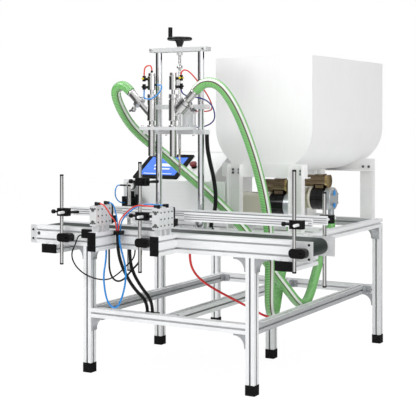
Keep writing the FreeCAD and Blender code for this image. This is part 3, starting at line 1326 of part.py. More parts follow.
def hopper_legs():
    """Four channels that lift the trough over the pumps, with the bolts in their slots."""
    pieces = []
    front_web = HOPPER_FRONT_Y - BEAM_PLATE_THICK
    rear_web = REAR_BEAM_Y + BEAM_PLATE_THICK
    for x in leg_xs():
        rear_x = x if x < HOPPER_MIDDLE_X else x + REAR_LEG_SHIFT
        pieces.append(leg_channel(x, front_web, -1))
        pieces.append(leg_channel(rear_x, rear_web, 1))
        near = front_web - LEG_CHANNEL_WALL
        far = rear_web + LEG_CHANNEL_WALL
        high = BEAM_PLATE_TOP - LEG_BOLT_DROP
        low = BEAM_PLATE_TOP - LEG_BOLT_DROP_REAR
        for offset in (-LEG_BOLT_OFFSET, LEG_BOLT_OFFSET):
            for step in (0.0, LEG_BOLT_STEP):
                head = rod_y(LEG_BOLT_RADIUS, near - LEG_BOLT_HEAD, near, x + offset, high - step)
                pieces.append(head)
                head = rod_y(LEG_BOLT_RADIUS, far, far + LEG_BOLT_HEAD, rear_x + offset, low - step)
                pieces.append(head)
            nut = rod_y(LEG_BOLT_RADIUS + 1.0, REAR_BEAM_Y - LEG_BOLT_HEAD, REAR_BEAM_Y,
                        rear_x + offset, low)
            pieces.append(nut)
    return pieces


def pump_ys():
    """Y of the front and the back pump."""
    return (PUMP_FRONT_Y, PUMP_BACK_Y)


def pump_drives():
    """Air cylinders that push the pistons, with rounded corners and a neck."""
    pieces = []
    half = DRIVE_SIZE / 2
    for y in pump_ys():
        body = block(DRIVE_LEFT_X, DRIVE_RIGHT_X, y - half, y + half, PUMP_Z - half, PUMP_Z + half)
        edges = [e for e in body.Edges if abs(e.tangentAt(0).x) > 0.9]
        body = body.makeFillet(DRIVE_CORNER, edges)
        neck = rod_x(DRIVE_NECK_RADIUS, DRIVE_RIGHT_X, PUMP_FLANGE_X, y, PUMP_Z)
        pieces.append(fuse([body, neck]))
    return pieces


def pump_barrels():
    """Dark pump barrels behind a pale flange; the flange is a solid of its own."""
    pieces = []
    for y in pump_ys():
        barrel = rod_x(PUMP_RADIUS, PUMP_BARREL_X, PUMP_CAP_X, y, PUMP_Z)
        groove_x = (PUMP_BARREL_X + PUMP_CAP_X) / 2
        ring = rod_x(PUMP_RADIUS + 1, groove_x - 3, groove_x + 3, y, PUMP_Z)
        core = rod_x(PUMP_RADIUS - 2, groove_x - 3, groove_x + 3, y, PUMP_Z)
        pieces.append(barrel.cut(ring.cut(core)))
    return pieces


def pump_flanges():
    """Pale flanges between the drive and the barrel."""
    pieces = []
    for y in pump_ys():
        disc = rod_x(PUMP_FLANGE_RADIUS, PUMP_FLANGE_X, PUMP_BARREL_X, y, PUMP_Z)
        rims = [e for e in disc.Edges if isinstance(e.Curve, Part.Circle)]
        pieces.append(disc.makeChamfer(2.0, rims))
    return pieces


def pump_caps():
    """End caps with two ports and a hose outlet that turns down."""
    pieces = []
    for y in pump_ys():
        cap = rod_x(PUMP_RADIUS, PUMP_CAP_X, PUMP_END_X, y, PUMP_Z)
        rims = [e for e in cap.Edges if isinstance(e.Curve, Part.Circle)
                and abs(e.Vertexes[0].Point.x - PUMP_END_X) < 0.01]
        cap = cap.makeFillet(7.0, rims)
        ports = []
        for z in (PUMP_Z + 30.0, PUMP_Z - 30.0):
            ports.append(rod_x(PORT_RADIUS, PUMP_END_X - 2, PUMP_END_X + PORT_HEIGHT, y - 20.0, z))
        x = PUMP_CAP_X + PUMP_CAP_LENGTH / 2
        outlet = rod_z(PUMP_OUTLET_RADIUS, PUMP_Z - PUMP_RADIUS - OUTLET_REACH, PUMP_Z, x, y)
        pieces.append(fuse([cap, outlet] + ports))
    return pieces


def valve_blocks():
    """Rotary valve housings between the hopper neck and the pump, with pale ferrules."""
    pieces = []
    x_middle = PUMP_BARREL_X + PUMP_BARREL_LENGTH / 2
    z = PUMP_Z + PUMP_RADIUS + VALVE_BLOCK_RADIUS
    for y in pump_ys():
        x1 = x_middle + VALVE_BLOCK_LENGTH * 0.3
        x0 = x1 - VALVE_BLOCK_LENGTH
        body = rod_x(VALVE_BLOCK_RADIUS, x0, x1, y, z)
        ferrule = rod_x(FERRULE_RADIUS, x1 - FERRULE_WIDTH, x1, y, z + 0.0)
        trim = block(x1 - FERRULE_WIDTH - 1, x1 + 1, y - FERRULE_RADIUS - 1, y + FERRULE_RADIUS + 1,
                     z - FERRULE_RADIUS - 1, z - VALVE_BLOCK_RADIUS)
        top_trim = block(x1 - FERRULE_WIDTH - 1, x1 + 1, y - FERRULE_RADIUS - 1,
                         y + FERRULE_RADIUS + 1, z + VALVE_BLOCK_RADIUS, z + FERRULE_RADIUS + 1)
        pad = block(x_middle - VALVE_PAD_HALF, x_middle + VALVE_PAD_HALF, y - VALVE_PAD_HALF,
                    y + VALVE_PAD_HALF, PUMP_Z, z + VALVE_BLOCK_RADIUS + VALVE_PAD_RISE)
        barrel = rod_x(PUMP_RADIUS, x0, x1, y, PUMP_Z)
        gap = VALVE_FLANGE_GAP
        flange = rod_x(PUMP_FLANGE_RADIUS + gap, PUMP_FLANGE_X - gap, PUMP_BARREL_X + gap, y, PUMP_Z)
        housing = fuse([body, cut(ferrule, [trim, top_trim]), pad.cut(barrel)])
        pieces.append(housing.cut(flange))
    return pieces


def pump_saddles():
    """Feet that seat each pump drive on the frame rails, cut back round the hopper legs."""
    pieces = []
    middle = MIDDLE_LEG_Y + HALF
    left = DRIVE_LEFT_X + SADDLE_INSET
    right = DRIVE_RIGHT_X - SADDLE_INSET
    top = UPPER_FRAME_TOP + SADDLE_THICK
    leg_side = leg_xs()[0] + LEG_CHANNEL_WIDTH / 2 + SADDLE_INSET / 2
    front_leg = block(left - 1, leg_side, 0, HOPPER_FRONT_Y, UPPER_FRAME_TOP, top)
    rear_leg = block(left - 1, leg_side, REAR_BEAM_Y, REAR_FACE_Y, UPPER_FRAME_TOP, top)
    spans = [
        (PUMP_FRONT_Y, UPPER_FRONT_RAIL_Y, middle - 1, front_leg),
        (PUMP_BACK_Y, middle + 1, REAR_FACE_Y, rear_leg),
    ]
    for y, y0, y1, notch in spans:
        base = block(left, right, y0, y1, UPPER_FRAME_TOP, top).cut(notch)
        foot = block(left + SADDLE_STEP, right - SADDLE_STEP, y - SADDLE_HALF, y + SADDLE_HALF,
                     top, PUMP_Z - DRIVE_SIZE / 2)
        pieces.append(fuse([base, foot]))
    return pieces


def slope_point(along, up):
    """Point on the sloping panel: along X, and up the slope from its lower edge."""
    angle = math.radians(SLOPE_ANGLE)
    return V(along, CABINET_FRONT_Y + up * math.cos(angle), CABINET_SHOULDER + up * math.sin(angle))


def slope_normal():
    """Unit vector out of the sloping panel."""
    angle = math.radians(SLOPE_ANGLE)
    return V(0, -math.sin(angle), math.cos(angle))


def cabinet():
    """Folded sheet cabinet with a sloping desk front, hollow, and a low box at its right."""
    back = CABINET_FRONT_Y + CABINET_DEPTH
    front = CABINET_FRONT_Y
    step = CABINET_FRONT_Y + CABINET_SLOPE_DEPTH

    rise = math.tan(math.radians(SLOPE_ANGLE))
    lean = 1.0 / math.cos(math.radians(SLOPE_ANGLE))

    def shell_points(x, inset):
        """Corners of the side view, each wall moved in by the inset."""
        knee = CABINET_SHOULDER + inset * rise - inset * lean
        ridge = step + inset * (lean - 1.0) / rise
        return [
            V(x, front + inset, CABINET_BOTTOM + inset),
            V(x, back - inset, CABINET_BOTTOM + inset),
            V(x, back - inset, CABINET_TOP - inset),
            V(x, ridge, CABINET_TOP - inset),
            V(x, front + inset, knee),
            V(x, front + inset, CABINET_BOTTOM + inset),
        ]

    wall = CABINET_WALL
    width = CABINET_RIGHT_X - CABINET_LEFT_X
    outer = Part.Face(Part.makePolygon(shell_points(CABINET_LEFT_X, 0.0))).extrude(V(width, 0, 0))
    room = Part.Face(Part.makePolygon(shell_points(CABINET_LEFT_X + wall, wall)))
    room = room.extrude(V(width - 2 * wall, 0, 0))
    box = block(CABINET_RIGHT_X, CABINET_LOWER_RIGHT_X, front, front + CABINET_BOX_DEPTH,
                CABINET_BOTTOM, CABINET_SHOULDER)
    box_room = block(CABINET_RIGHT_X, CABINET_LOWER_RIGHT_X - wall, front + wall,
                     front + CABINET_BOX_DEPTH - wall, CABINET_BOTTOM + wall, CABINET_SHOULDER - wall)
    feet = []
    for x in (CABINET_LEFT_X + 24.0, CABINET_RIGHT_X - 60.0):
        for y in (UPPER_FRONT_RAIL_Y + 2.0, MIDDLE_LEG_Y + 2.0):
            feet.append(block(x, x + 36.0, y, y + 36.0, UPPER_FRAME_TOP, CABINET_BOTTOM))
    return cut(fuse([outer, box] + feet), [room, box_room])


def hmi_panel():
    """Touch panel bezel on the slope with a raised screen."""
    angle = SLOPE_ANGLE
    bezel = Part.makeBox(PANEL_WIDTH, PANEL_HEIGHT, PANEL_THICK)
    edges = [e for e in bezel.Edges if abs(e.tangentAt(0).z) > 0.9]
    bezel = bezel.makeFillet(6.0, edges)
    inset = 22.0
    well = Part.makeBox(PANEL_WIDTH - 2 * inset, PANEL_HEIGHT - 2 * inset, 3.0,
                        V(inset, inset, PANEL_THICK - 1.5))
    bezel = bezel.cut(well)
    bezel.rotate(V(0, 0, 0), V(1, 0, 0), angle)
    bezel.translate(slope_point(PANEL_LEFT_X, PANEL_SLOPE_START))
    return bezel


def button_base():
    """Foot of the stop button on the slope."""
    return slope_point(BUTTON_X, BUTTON_UP_SLOPE)


def button_collar():
    """Ring nut round the stop button's stem."""
    base = button_base()
    normal = slope_normal()
    ring = Part.makeCylinder(BUTTON_COLLAR_RADIUS, BUTTON_COLLAR_HEIGHT, base, normal)
    hole = Part.makeCylinder(BUTTON_STEM_RADIUS + 0.06, BUTTON_COLLAR_HEIGHT + 2, base - normal, normal)
    return ring.cut(hole)


def stop_button():
    """Mushroom button that pushes in along the panel's normal."""
    normal = slope_normal()
    base = button_base() + normal * (BUTTON_TRAVEL + 0.6)
    stem = Part.makeCylinder(BUTTON_STEM_RADIUS, BUTTON_HEIGHT - 8.0, base, normal)
    head_start = button_base() + normal * (BUTTON_COLLAR_HEIGHT + BUTTON_TRAVEL + 0.8)
    head = Part.makeCylinder(BUTTON_RADIUS, 12.0, head_start, normal)
    rims = [e for e in head.Edges if isinstance(e.Curve, Part.Circle)]
    head = head.makeFillet(3.0, rims)
    return fuse([stem, head])


def air_unit():
    """Filter regulator on a grey bracket in front of the cabinet."""
    x = AIR_X
    front = CABINET_FRONT_Y - AIR_DEPTH - 8.0
    back = CABINET_FRONT_Y - 8.0
    half = AIR_WIDTH / 2
    plate = block(x - half - 44.0, x + half + 4.0, CABINET_FRONT_Y - 8.0, CABINET_FRONT_Y,
                  AIR_Z - 4.0, AIR_Z + AIR_HEIGHT + 4.0)
    body = block(x - half, x + half, front, back, AIR_Z, AIR_Z + AIR_HEIGHT)
    edges = [e for e in body.Edges if abs(e.tangentAt(0).z) > 0.9]
    body = body.makeFillet(5.0, edges)
    bonnet = rod_z(half - 4.0, AIR_Z + AIR_HEIGHT, AIR_Z + AIR_HEIGHT + 12.0, x, (front + back) / 2)
    bowl = rod_z(half - 6.0, AIR_Z - 34.0, AIR_Z, x, (front + back) / 2)
    side_x = x + half + VALVE_KNOB_RADIUS + 6.0
    arm = rod_x(7.0, x, side_x, (front + back) / 2, AIR_Z + AIR_HEIGHT / 2)
    side = rod_z(VALVE_KNOB_RADIUS - 4.0, AIR_Z, AIR_Z + AIR_HEIGHT, side_x, (front + back) / 2)
    cap = rod_z(VALVE_KNOB_RADIUS, AIR_Z + AIR_HEIGHT, AIR_Z + AIR_HEIGHT + VALVE_KNOB_HEIGHT, side_x,
                (front + back) / 2)
    rims = [e for e in cap.Edges if isinstance(e.Curve, Part.Circle)]
    cap = cap.makeFillet(2.5, rims)
    return [fuse([body, plate, bonnet, bowl, arm, side, cap])]


def air_knob():
    """Ribbed knob on top of the regulator."""
    x = AIR_X
    middle = CABINET_FRONT_Y - 8.0 - AIR_DEPTH / 2
    low = AIR_Z + AIR_HEIGHT + 12.3
    return rod_z(AIR_WIDTH / 2 - 4.0, low, low + 20.0, x, middle)


def gauge():
    """Pressure gauge above the regulator, on a stem from the cabinet, with its side pipe."""
    z = AIR_Z + AIR_HEIGHT + GAUGE_LIFT
    face = CABINET_FRONT_Y - 18.0
    middle = face - GAUGE_THICK / 2
    dial = rod_y(GAUGE_RADIUS, face - GAUGE_THICK, face, AIR_X, z)
    stem = rod_y(6.0, face, CABINET_FRONT_Y, AIR_X, z)
    pipe = rod_x(4.0, AIR_X - GAUGE_RADIUS - GAUGE_PIPE_LENGTH, AIR_X, middle, z)
    return fuse([dial, stem, pipe])


def route(points):
    """Path of straight runs joined by the largest arcs that the runs allow."""
    edges = []
    radii = []
    start = points[0]
    for index in range(1, len(points) - 1):
        corner = points[index]
        before = corner - points[index - 1]
        after = points[index + 1] - corner
        reach = 0.45 * min(before.Length, after.Length)
        back = before.normalize()
        ahead = after.normalize()
        turn = back.getAngle(ahead)
        radius = reach / math.tan(turn / 2)
        arc_start = corner - back * reach
        arc_end = corner + ahead * reach
        inward = (ahead - back).normalize()
        middle = corner + inward * (radius / math.cos(turn / 2) - radius)
        edges.append(Part.LineSegment(start, arc_start).toShape())
        edges.append(Part.Arc(arc_start, middle, arc_end).toShape())
        start = arc_end
        radii.append(radius)
    edges.append(Part.LineSegment(start, points[-1]).toShape())
    return Part.Wire(edges), radii


def tube(name, points, radius):
    """Round tube along a route; prints its length, tightest bend and volume ratio."""
    wire, radii = route(points)
    direction = (points[1] - points[0]).normalize()
    circle = Part.Wire([Part.Circle(points[0], direction, radius).toShape()])
    solid = wire.makePipeShell([circle], True, False)
    ratio = solid.Volume / (math.pi * radius * radius * wire.Length)
    diameter = 2 * radius
    smallest = min(radii) / diameter
    print("cord", name, "length", round(wire.Length), "smallest radius", round(smallest, 1),
          "diameters", "volume", round(ratio, 4))
    return solid


def boot_place():
    """Middle of the lower face of the boot that gathers the air tubes."""
    return V(-200.0, -24.0, 618.0)


def conduit_boot():
    """Rounded boot on the front side profile where the air tubes enter their conduit."""
    base = boot_place()
    body = block(base.x - 18, base.x + 18, -38.0, 0.0, base.z, base.z + 16.0)
    edges = [e for e in body.Edges if abs(e.tangentAt(0).z) > 0.9]
    return body.makeFillet(6.0, edges)


def conduit_gland():
    """Entry block behind the front base rail that both conduits run into."""
    z = LOWER_RAIL_BOTTOM
    return block(-114.0, -52.0, PROFILE, PROFILE + 36.0, z, z + PROFILE - 2.0)


def head_gland_top():
    """Top face of the gland on the right support beam."""
    return V(COLUMN_RIGHT_X + SUPPORT_BEAM_OFFSET, 300.0, UPPER_FRAME_TOP + 12.0)


def head_gland():
    """Round gland on the right support beam where the head conduit ends."""
    top = head_gland_top()
    return rod_z(HEAD_CONDUIT_RADIUS + 4.0, UPPER_FRAME_TOP, top.z, top.x, top.y)


def gland_top():
    """Height where the conduits enter the gland block."""
    return LOWER_RAIL_BOTTOM + PROFILE - 2.0


def hose_fitting():
    """Push-in union on the inner face of the right base rail, for the red air hose."""
    x1 = FRONT_LEG_RIGHT_X
    z = LOWER_RAIL_BOTTOM + HALF
    return rod_x(10.0, x1 - 26.0, x1, HOSE_UNION_Y, z)


def tail_end(lean):
    """End face of a hose tail."""
    x = VALVE_X if lean < 0 else VALVE_X + VALVE_PITCH
    return V(x, VALVE_Y, INLET_BASE_Z) + inlet_axis(lean) * (CLAMP_RING_DISTANCE + TAIL_LENGTH)


def outlet_end(y):
    """Lower face of a pump outlet."""
    return V(PUMP_CAP_X + PUMP_CAP_LENGTH / 2, y, PUMP_Z - PUMP_RADIUS - OUTLET_REACH)


def left_hose_points():
    """From the left valve over the bars, behind the columns and up to the back pump."""
    start = tail_end(-1)
    end = outlet_end(PUMP_BACK_Y)
    return [
        start, start + inlet_axis(-1) * 36.8, V(-290, 114, 1260), V(-315, 122, 1234),
        V(-315, 140, 1190), V(-305, 176, 1130), V(-285, 222, 1070), V(-246, 280, 1010),
        V(-190, 328, 957), V(-123, 343, 897), V(-25, 345, 829), V(71, 350, 751), V(155, 355, 679),
        V(237, 358, 600), V(296, 372, 510), V(345, 410, 425), V(368, 480, 350),
        V(373, 560, 288), V(372, 640, 262), V(368, 716, 308), V(360, 794, 392),
        V(348, 870, 452), V(338, 950, 478), V(331, 1006, 504), V(end.x, end.y, 556), end,
    ]


def right_hose_points():
    """From the right valve over the front of the trough, down and up to the front pump."""
    start = tail_end(1)
    end = outlet_end(PUMP_FRONT_Y)
    return [
        start, start + inlet_axis(1) * 36.0, V(168, 112, 1270), V(206, 117, 1262), V(238, 130, 1232),
        V(272, 162, 1160), V(298, 212, 1050), V(320, 255, 929), V(341, 280, 809),
        V(357, 290, 702), V(366, 292, 595), V(369, 293, 488), V(364, 298, 392),
        V(352, 322, 306), V(338, 378, 256), V(318, 446, 262), V(301, 506, 324),
        V(296, 548, 408), V(306, 574, 488), V(end.x, end.y, 558), end,
    ]


def conduit_a_points():
    """From the boot, down in front of the conveyor and in behind the base rail."""
    start = boot_place() + V(-3, 0, 0)
    end = V(-104, 58, gland_top())
    return [
        start, V(start.x, start.y, 566), V(-188, -26, 504), V(-162, -16, 440), V(-134, 10, 380),
        V(end.x, end.y, 326), end,
    ]


def conduit_b_points():
    """From under the front side profile to the same entry block."""
    end = V(-78, 58, gland_top())
    return [
        V(-174, 26, CONVEYOR_BOTTOM), V(-174, 26, 508), V(-160, 32, 448), V(-126, 44, 388),
        V(end.x, end.y, 330), end,
    ]


def blue_loop_points():
    """Blue tube from the boot, round a low loop and up under the side profile."""
    start = boot_place() + V(12, -8, 0)
    return [
        start, V(start.x, start.y, 586), V(-162, -46, 536), V(-144, -48, 482), V(-145, -48, 418),
        V(-162, -48, 356), V(-184, -48, 312), V(-214, -46, 304), V(-244, -42, 330),
        V(-264, -34, 378), V(-280, -20, 440), V(-293, 20, 504), V(-293, 20, CONVEYOR_BOTTOM),
    ]


def sensor_cable_points():
    """From the sensor, down in a shallow sag and up under the side profile."""
    left = GATE_BEAM_1_X - SENSOR_GAP - SENSOR_LENGTH
    z = CONVEYOR_TOP - 4.0 - SENSOR_HEIGHT * 0.7
    return [
        V(left, -11, z), V(left - 22, -11, z), V(left - 34, -13, z - 36),
        V(-458, -20, 512), V(-420, -22, 454), V(-345, -16, 418), V(-262, -8, 414),
        V(-206, -6, 450), V(-168, 0, 488), V(-142, 20, 520), V(-142, 20, CONVEYOR_BOTTOM),
    ]


def cable_loop_points():
    """Drive cable that hangs in a U between two entries under the side profile."""
    return [
        V(-278, 20, CONVEYOR_BOTTOM), V(-278, 20, 508), V(-276, 18, 458), V(-258, 14, 422),
        V(-226, 10, 408), V(-190, 8, 422), V(-154, 8, 462), V(-110, 20, 508),
        V(-110, 20, CONVEYOR_BOTTOM),
    ]


def red_hose_points():
    """Red air hose from under the belt down to its union on the right base rail."""
    x1 = FRONT_LEG_RIGHT_X - 26.0
    z = LOWER_RAIL_BOTTOM + HALF
    return [
        V(132, 20, CONVEYOR_BOTTOM), V(132, 20, 516), V(130, 62, 464), V(142, 118, 420),
        V(172, 172, 382), V(216, 220, 346), V(264, 260, 312), V(308, 286, 284),
        V(348, HOSE_UNION_Y, z), V(x1, HOSE_UNION_Y, z),
    ]


def head_conduit_points():
    """Conduit from the lower bar's right end down to its gland on the support beam."""
    entry = head_gland_top()
    return [
        V(75, 262, LOWER_BAR_BOTTOM), V(75, 262, 996), V(77, 284, 926), V(88, 300, 854),
        V(97, 304, 778), V(92, 304, 704), V(entry.x, entry.y, 668), entry,
    ]


def stop_tube_points(which):
    """Four air tubes from the stop fittings into the boot."""
    top = boot_place() + V(0, 0, 16)
    fitting_z = CONVEYOR_TOP + STOP_HEIGHT + PUSH_FITTING_HEIGHT - PUSH_FITTING_RADIUS
    front = -STOP_BACK_OFFSET - STOP_LENGTH
    near = front + STOP_LENGTH * 0.2
    far = front + STOP_LENGTH * 0.8
    first = stop_x(GATE_BEAM_1_X) + PUSH_ELBOW_LENGTH
    second = stop_x(GATE_BEAM_2_X) - PUSH_ELBOW_LENGTH
    if which == 0:
        return [V(first, near, fitting_z), V(-216, near, fitting_z), V(-204, -96, 728),
                V(-199, -76, 700), V(top.x - 5, top.y - 6, 668), V(top.x - 5, top.y - 6, top.z)]
    if which == 1:
        return [V(first, far, fitting_z), V(-216, far, fitting_z), V(-206, -40, 730),
                V(-202, -32, 694), V(top.x - 8, top.y + 6, 664), V(top.x - 8, top.y + 6, top.z)]
    if which == 2:
        return [V(second, near, fitting_z), V(6, near, fitting_z), V(-44, -96, 756),
                V(-92, -78, 742), V(-142, -58, 712), V(top.x + 5, top.y - 6, 672),
                V(top.x + 5, top.y - 6, top.z)]
    return [V(second, far, fitting_z), V(6, far, fitting_z), V(-44, -48, 757),
            V(-96, -52, 740), V(-146, -44, 706), V(top.x + 8, top.y + 6, 668),
            V(top.x + 8, top.y + 6, top.z)]


def head_air_routes():
    """Short air tubes that ride with the head."""
    left = VALVE_X - ACTUATOR_RADIUS - 22.0
    right = VALVE_X + VALVE_PITCH + ACTUATOR_RADIUS + 22.0
    low = ACTUATOR_BOTTOM + 12.0 - 10.0
    high = ACTUATOR_TOP - 26.0 + 14.0
    y = VALVE_Y
    cap = ACTUATOR_TOP + PORT_STEM_LENGTH
    port = inner_port()
    upper, lower = dive_ports()
    return [
        [V(left, y, high), V(left, y, high + 18), V(left + 4, y, high + 38),
         V(left + 22, y, high + 46), V(VALVE_X, y, high + 42), V(VALVE_X, y, cap)],
        [V(left, y, low), V(left, y, low - 18), V(left + 14, y - 24, low - 38),
         V(left + 46, y - 28, low - 44), V(left + 76, y - 24, low - 32), V(port.x + 28, y - 8, low),
         V(port.x + 22, y, port.z), port],
        [V(right, y, high), V(right, y, high + 18), V(right + 22, y + 6, high + 24),
         V(right + 46, y + 20, high), V(right + 66, y + 48, high - 40), V(right + 78, y + 88, high - 82),
         V(right + 78, y + 128, high - 122), V(right + 58, y + 166, upper.z + 6),
         V(right + 14, y + 196, upper.z), V(upper.x + 14, upper.y + 24, upper.z),
         V(upper.x, upper.y + 20, upper.z), upper],
        [V(right, y, low), V(right, y, low - 14), V(right + 6, y + 26, low - 28),
         V(right + 22, y + 48, low - 32), V(right + 50, y + 64, low - 36), V(right + 78, y + 78, low - 46),
         V(right + 94, y + 108, low - 72), V(right + 86, y + 144, low - 112),
         V(right + 58, y + 178, low - 142), V(right + 6, y + 198, lower.z + 4),
         V(lower.x + 14, lower.y + 26, lower.z), V(lower.x, lower.y + 20, lower.z), lower],
    ]


def regulator_tube_points():
    """Blue tube from the regulator's bracket round to the gauge."""
    z = AIR_Z + AIR_HEIGHT * 0.5
    plate = CABINET_FRONT_Y - 8.0
    left = AIR_X - AIR_WIDTH / 2 - 30.0
    end = AIR_X - GAUGE_RADIUS - GAUGE_PIPE_LENGTH
    gauge_z = AIR_Z + AIR_HEIGHT + GAUGE_LIFT
    gauge_y = CABINET_FRONT_Y - 18.0 - GAUGE_THICK / 2
    return [
        V(left, plate, z), V(left, plate - 22, z), V(left - 16, plate - 34, z + 12),
        V(left - 28, plate - 36, z + 36), V(left - 32, plate - 28, z + 64), V(end - 18, gauge_y, gauge_z),
        V(end, gauge_y, gauge_z),
    ]


def cords():
    """Every hose, conduit, cable and tube with its route and radius."""
    items = [
        ("left_hose", left_hose_points(), HOSE_RADIUS),
        ("right_hose", right_hose_points(), HOSE_RADIUS),
        ("conduit_a", conduit_a_points(), CONDUIT_RADIUS),
        ("conduit_b", conduit_b_points(), CONDUIT_RADIUS),
        ("blue_loop", blue_loop_points(), TUBE_RADIUS),
        ("sensor_cable", sensor_cable_points(), SMALL_TUBE_RADIUS),
        ("cable_loop", cable_loop_points(), CABLE_RADIUS),
        ("red_hose", red_hose_points(), CABLE_RADIUS + 1.0),
        ("head_conduit", head_conduit_points(), HEAD_CONDUIT_RADIUS),
        ("regulator_tube", regulator_tube_points(), SMALL_TUBE_RADIUS),
    ]
    for which in range(4):
        items.append(("stop_tube_" + str(which + 1), stop_tube_points(which), SMALL_TUBE_RADIUS))
    return items


def build():
    """Writes every sub-part."""
    write("frame_legs", frame_legs())
    write("end_caps", foot_caps() + beam_caps())
    write("lower_rails", lower_rails())
    write("upper_rails", upper_rails())
    write("corner_brackets", corner_brackets())
    write("conveyor_rails", conveyor_rails())
    write("end_plates", end_plates())
    write("drive_drum", drum(DRUM_RIGHT_X, BEARING_PLATE_THICK))
    write("idler_drum", drum(DRUM_LEFT_X, PROFILE))
    write("belt", belt())
    write("belt_bed", belt_bed())
    write("cross_beams", cross_beams())
    write("bottle_sensor", bottle_sensor())
    stops = [stop_body(GATE_BEAM_1_X), stop_body(GATE_BEAM_2_X)]
    write("stop_bodies", stops + air_fittings())
    write("stop_slide_1", stop_slide(GATE_BEAM_1_X))
    write("stop_slide_2", stop_slide(GATE_BEAM_2_X))
    write("guide_posts", guide_posts())
    write("rail_clamps", rail_clamps())
    write("front_guide", front_guide_rails() + front_guide_clamps())
    write("rear_guide_rail", rear_guide_rail())
    write("gantry_columns", [gantry_base()] + columns())
    write("top_plate", top_plate())
    write("lead_screw", lead_screw())
    write("handwheel", handwheel())
    write("crank_grip", crank_grip())
    write("carriage_bars", carriage_bars())
    write("dive_cylinder", dive_cylinder())
    write("nozzle_plate", nozzle_plate())
    write("filling_valves", filling_valves())
    write("inlet_branches", inlet_branches() + inlet_clamps())
    write("valve_actuators", valve_actuators())
    write("nozzle_tubes", nozzle_tubes())
    write("speed_fittings", speed_fittings())
    write("hopper", hopper())
    write("hopper_supports", hopper_beams() + hopper_legs())
    write("pump_drives", pump_drives() + pump_saddles())
    write("pump_barrels", pump_flanges() + pump_barrels())
    write("pump_caps", pump_caps())
    write("valve_blocks", valve_blocks())
    write("cabinet", cabinet())
    write("hmi_panel", [hmi_panel(), button_collar()])
    write("stop_button", stop_button())
    write("air_unit", air_unit() + [gauge()])
    write("air_knob", air_knob())
    write("tube_entries", [conduit_boot(), conduit_gland(), hose_fitting(), head_gland()])
    for name, points, radius in cords():
        write(name, tube(name, points, radius))
    routes = head_air_routes()
    tubes = []
    for index, points in enumerate(routes):
        tubes.append(tube("head_air_tubes " + str(index + 1), points, SMALL_TUBE_RADIUS))
    write("head_air_tubes", tubes)


build()
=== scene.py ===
"""Looks of the piston paste filling machine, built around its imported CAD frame.

Places are given in millimetres of the machine frame, where Y starts at the operator face
of the conveyor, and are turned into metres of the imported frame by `place`. Every finish is
procedural. Hoses, conduits and tubes follow the routes of the CAD source.
"""
import bmesh
import bpy
import logging
import math
from dataclasses import dataclass
from enum import Enum
from mathutils import Matrix, Vector
from typing import Callable, Iterable, Optional, Sequence, Union

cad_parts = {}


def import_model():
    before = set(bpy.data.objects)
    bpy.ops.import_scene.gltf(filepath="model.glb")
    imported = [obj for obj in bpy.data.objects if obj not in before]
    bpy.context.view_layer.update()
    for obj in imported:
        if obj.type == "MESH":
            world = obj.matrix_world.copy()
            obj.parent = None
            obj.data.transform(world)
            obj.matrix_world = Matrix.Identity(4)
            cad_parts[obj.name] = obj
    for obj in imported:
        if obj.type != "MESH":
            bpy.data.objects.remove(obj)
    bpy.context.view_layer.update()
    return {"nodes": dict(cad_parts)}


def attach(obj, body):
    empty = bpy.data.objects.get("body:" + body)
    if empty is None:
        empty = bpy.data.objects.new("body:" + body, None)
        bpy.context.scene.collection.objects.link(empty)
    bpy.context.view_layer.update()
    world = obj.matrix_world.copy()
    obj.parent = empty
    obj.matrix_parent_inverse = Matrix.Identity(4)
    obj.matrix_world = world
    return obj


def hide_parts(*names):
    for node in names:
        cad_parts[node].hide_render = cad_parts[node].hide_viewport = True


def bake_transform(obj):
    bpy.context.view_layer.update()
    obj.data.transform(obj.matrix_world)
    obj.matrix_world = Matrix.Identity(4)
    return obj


LOG = logging.getLogger("filler")
MM = 0.001
DEPTH_MIDDLE = 576.5
Triple = tuple[float, float, float]
Socket = bpy.types.NodeSocket
RIGHT = (1.0, 0.0, 0.0)
FRONT, BACK = (0.0, -1.0, 0.0), (0.0, 1.0, 0.0)
DOWN, UP = (0.0, 0.0, -1.0), (0.0, 0.0, 1.0)
WHITE = (1.0, 1.0, 1.0)


class Body(str, Enum):
    """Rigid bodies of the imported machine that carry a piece."""

    FRAME = "frame"
    HEAD = "head"
    WHEEL = "handwheel"
    KNOB = "knob"


class Grain(Enum):
    """Kinds of fine marks, each with how far it stretches the noise."""

    EVEN = (1.0, 1.0, 1.0)
    DRAWN_X = (0.02, 1.0, 1.0)
    DRAWN_Z = (1.0, 1.0, 0.02)
    TURNED = (0.08, 0.08, 1.0)


def place(x: float, y: float, z: float) -> Vector:
    """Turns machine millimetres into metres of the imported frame.

    Args:
        x: Distance along the conveyor.
        y: Distance behind the operator face.
        z: Height over the floor.

    Returns:
        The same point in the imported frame.
    """
    return Vector((x * MM, (y - DEPTH_MIDDLE) * MM, z * MM))


def machine(spot: Vector) -> Vector:
    """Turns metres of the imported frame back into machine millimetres."""
    return Vector((spot.x / MM, spot.y / MM + DEPTH_MIDDLE, spot.z / MM))


def put(name: str, data: bpy.types.ID) -> bpy.types.Object:
    """Makes an object of some data and links it into the scene.

    Args:
        name: Name of the object.
        data: Its mesh, curve, lamp or camera.

    Returns:
        The object.
    """
    made = bpy.data.objects.new(name, data)
    bpy.context.scene.collection.objects.link(made)
    return made


def settle(name: str, mesh: bmesh.types.BMesh) -> bpy.types.Object:
    """Turns a finished bmesh into an object in the scene and frees it.

    Args:
        name: Name of the object and its mesh.
        mesh: The finished bmesh.

    Returns:
        The object.
    """
    data = bpy.data.meshes.new(name)
    mesh.normal_update()
    mesh.to_mesh(data)
    mesh.free()
    return put(name, data)


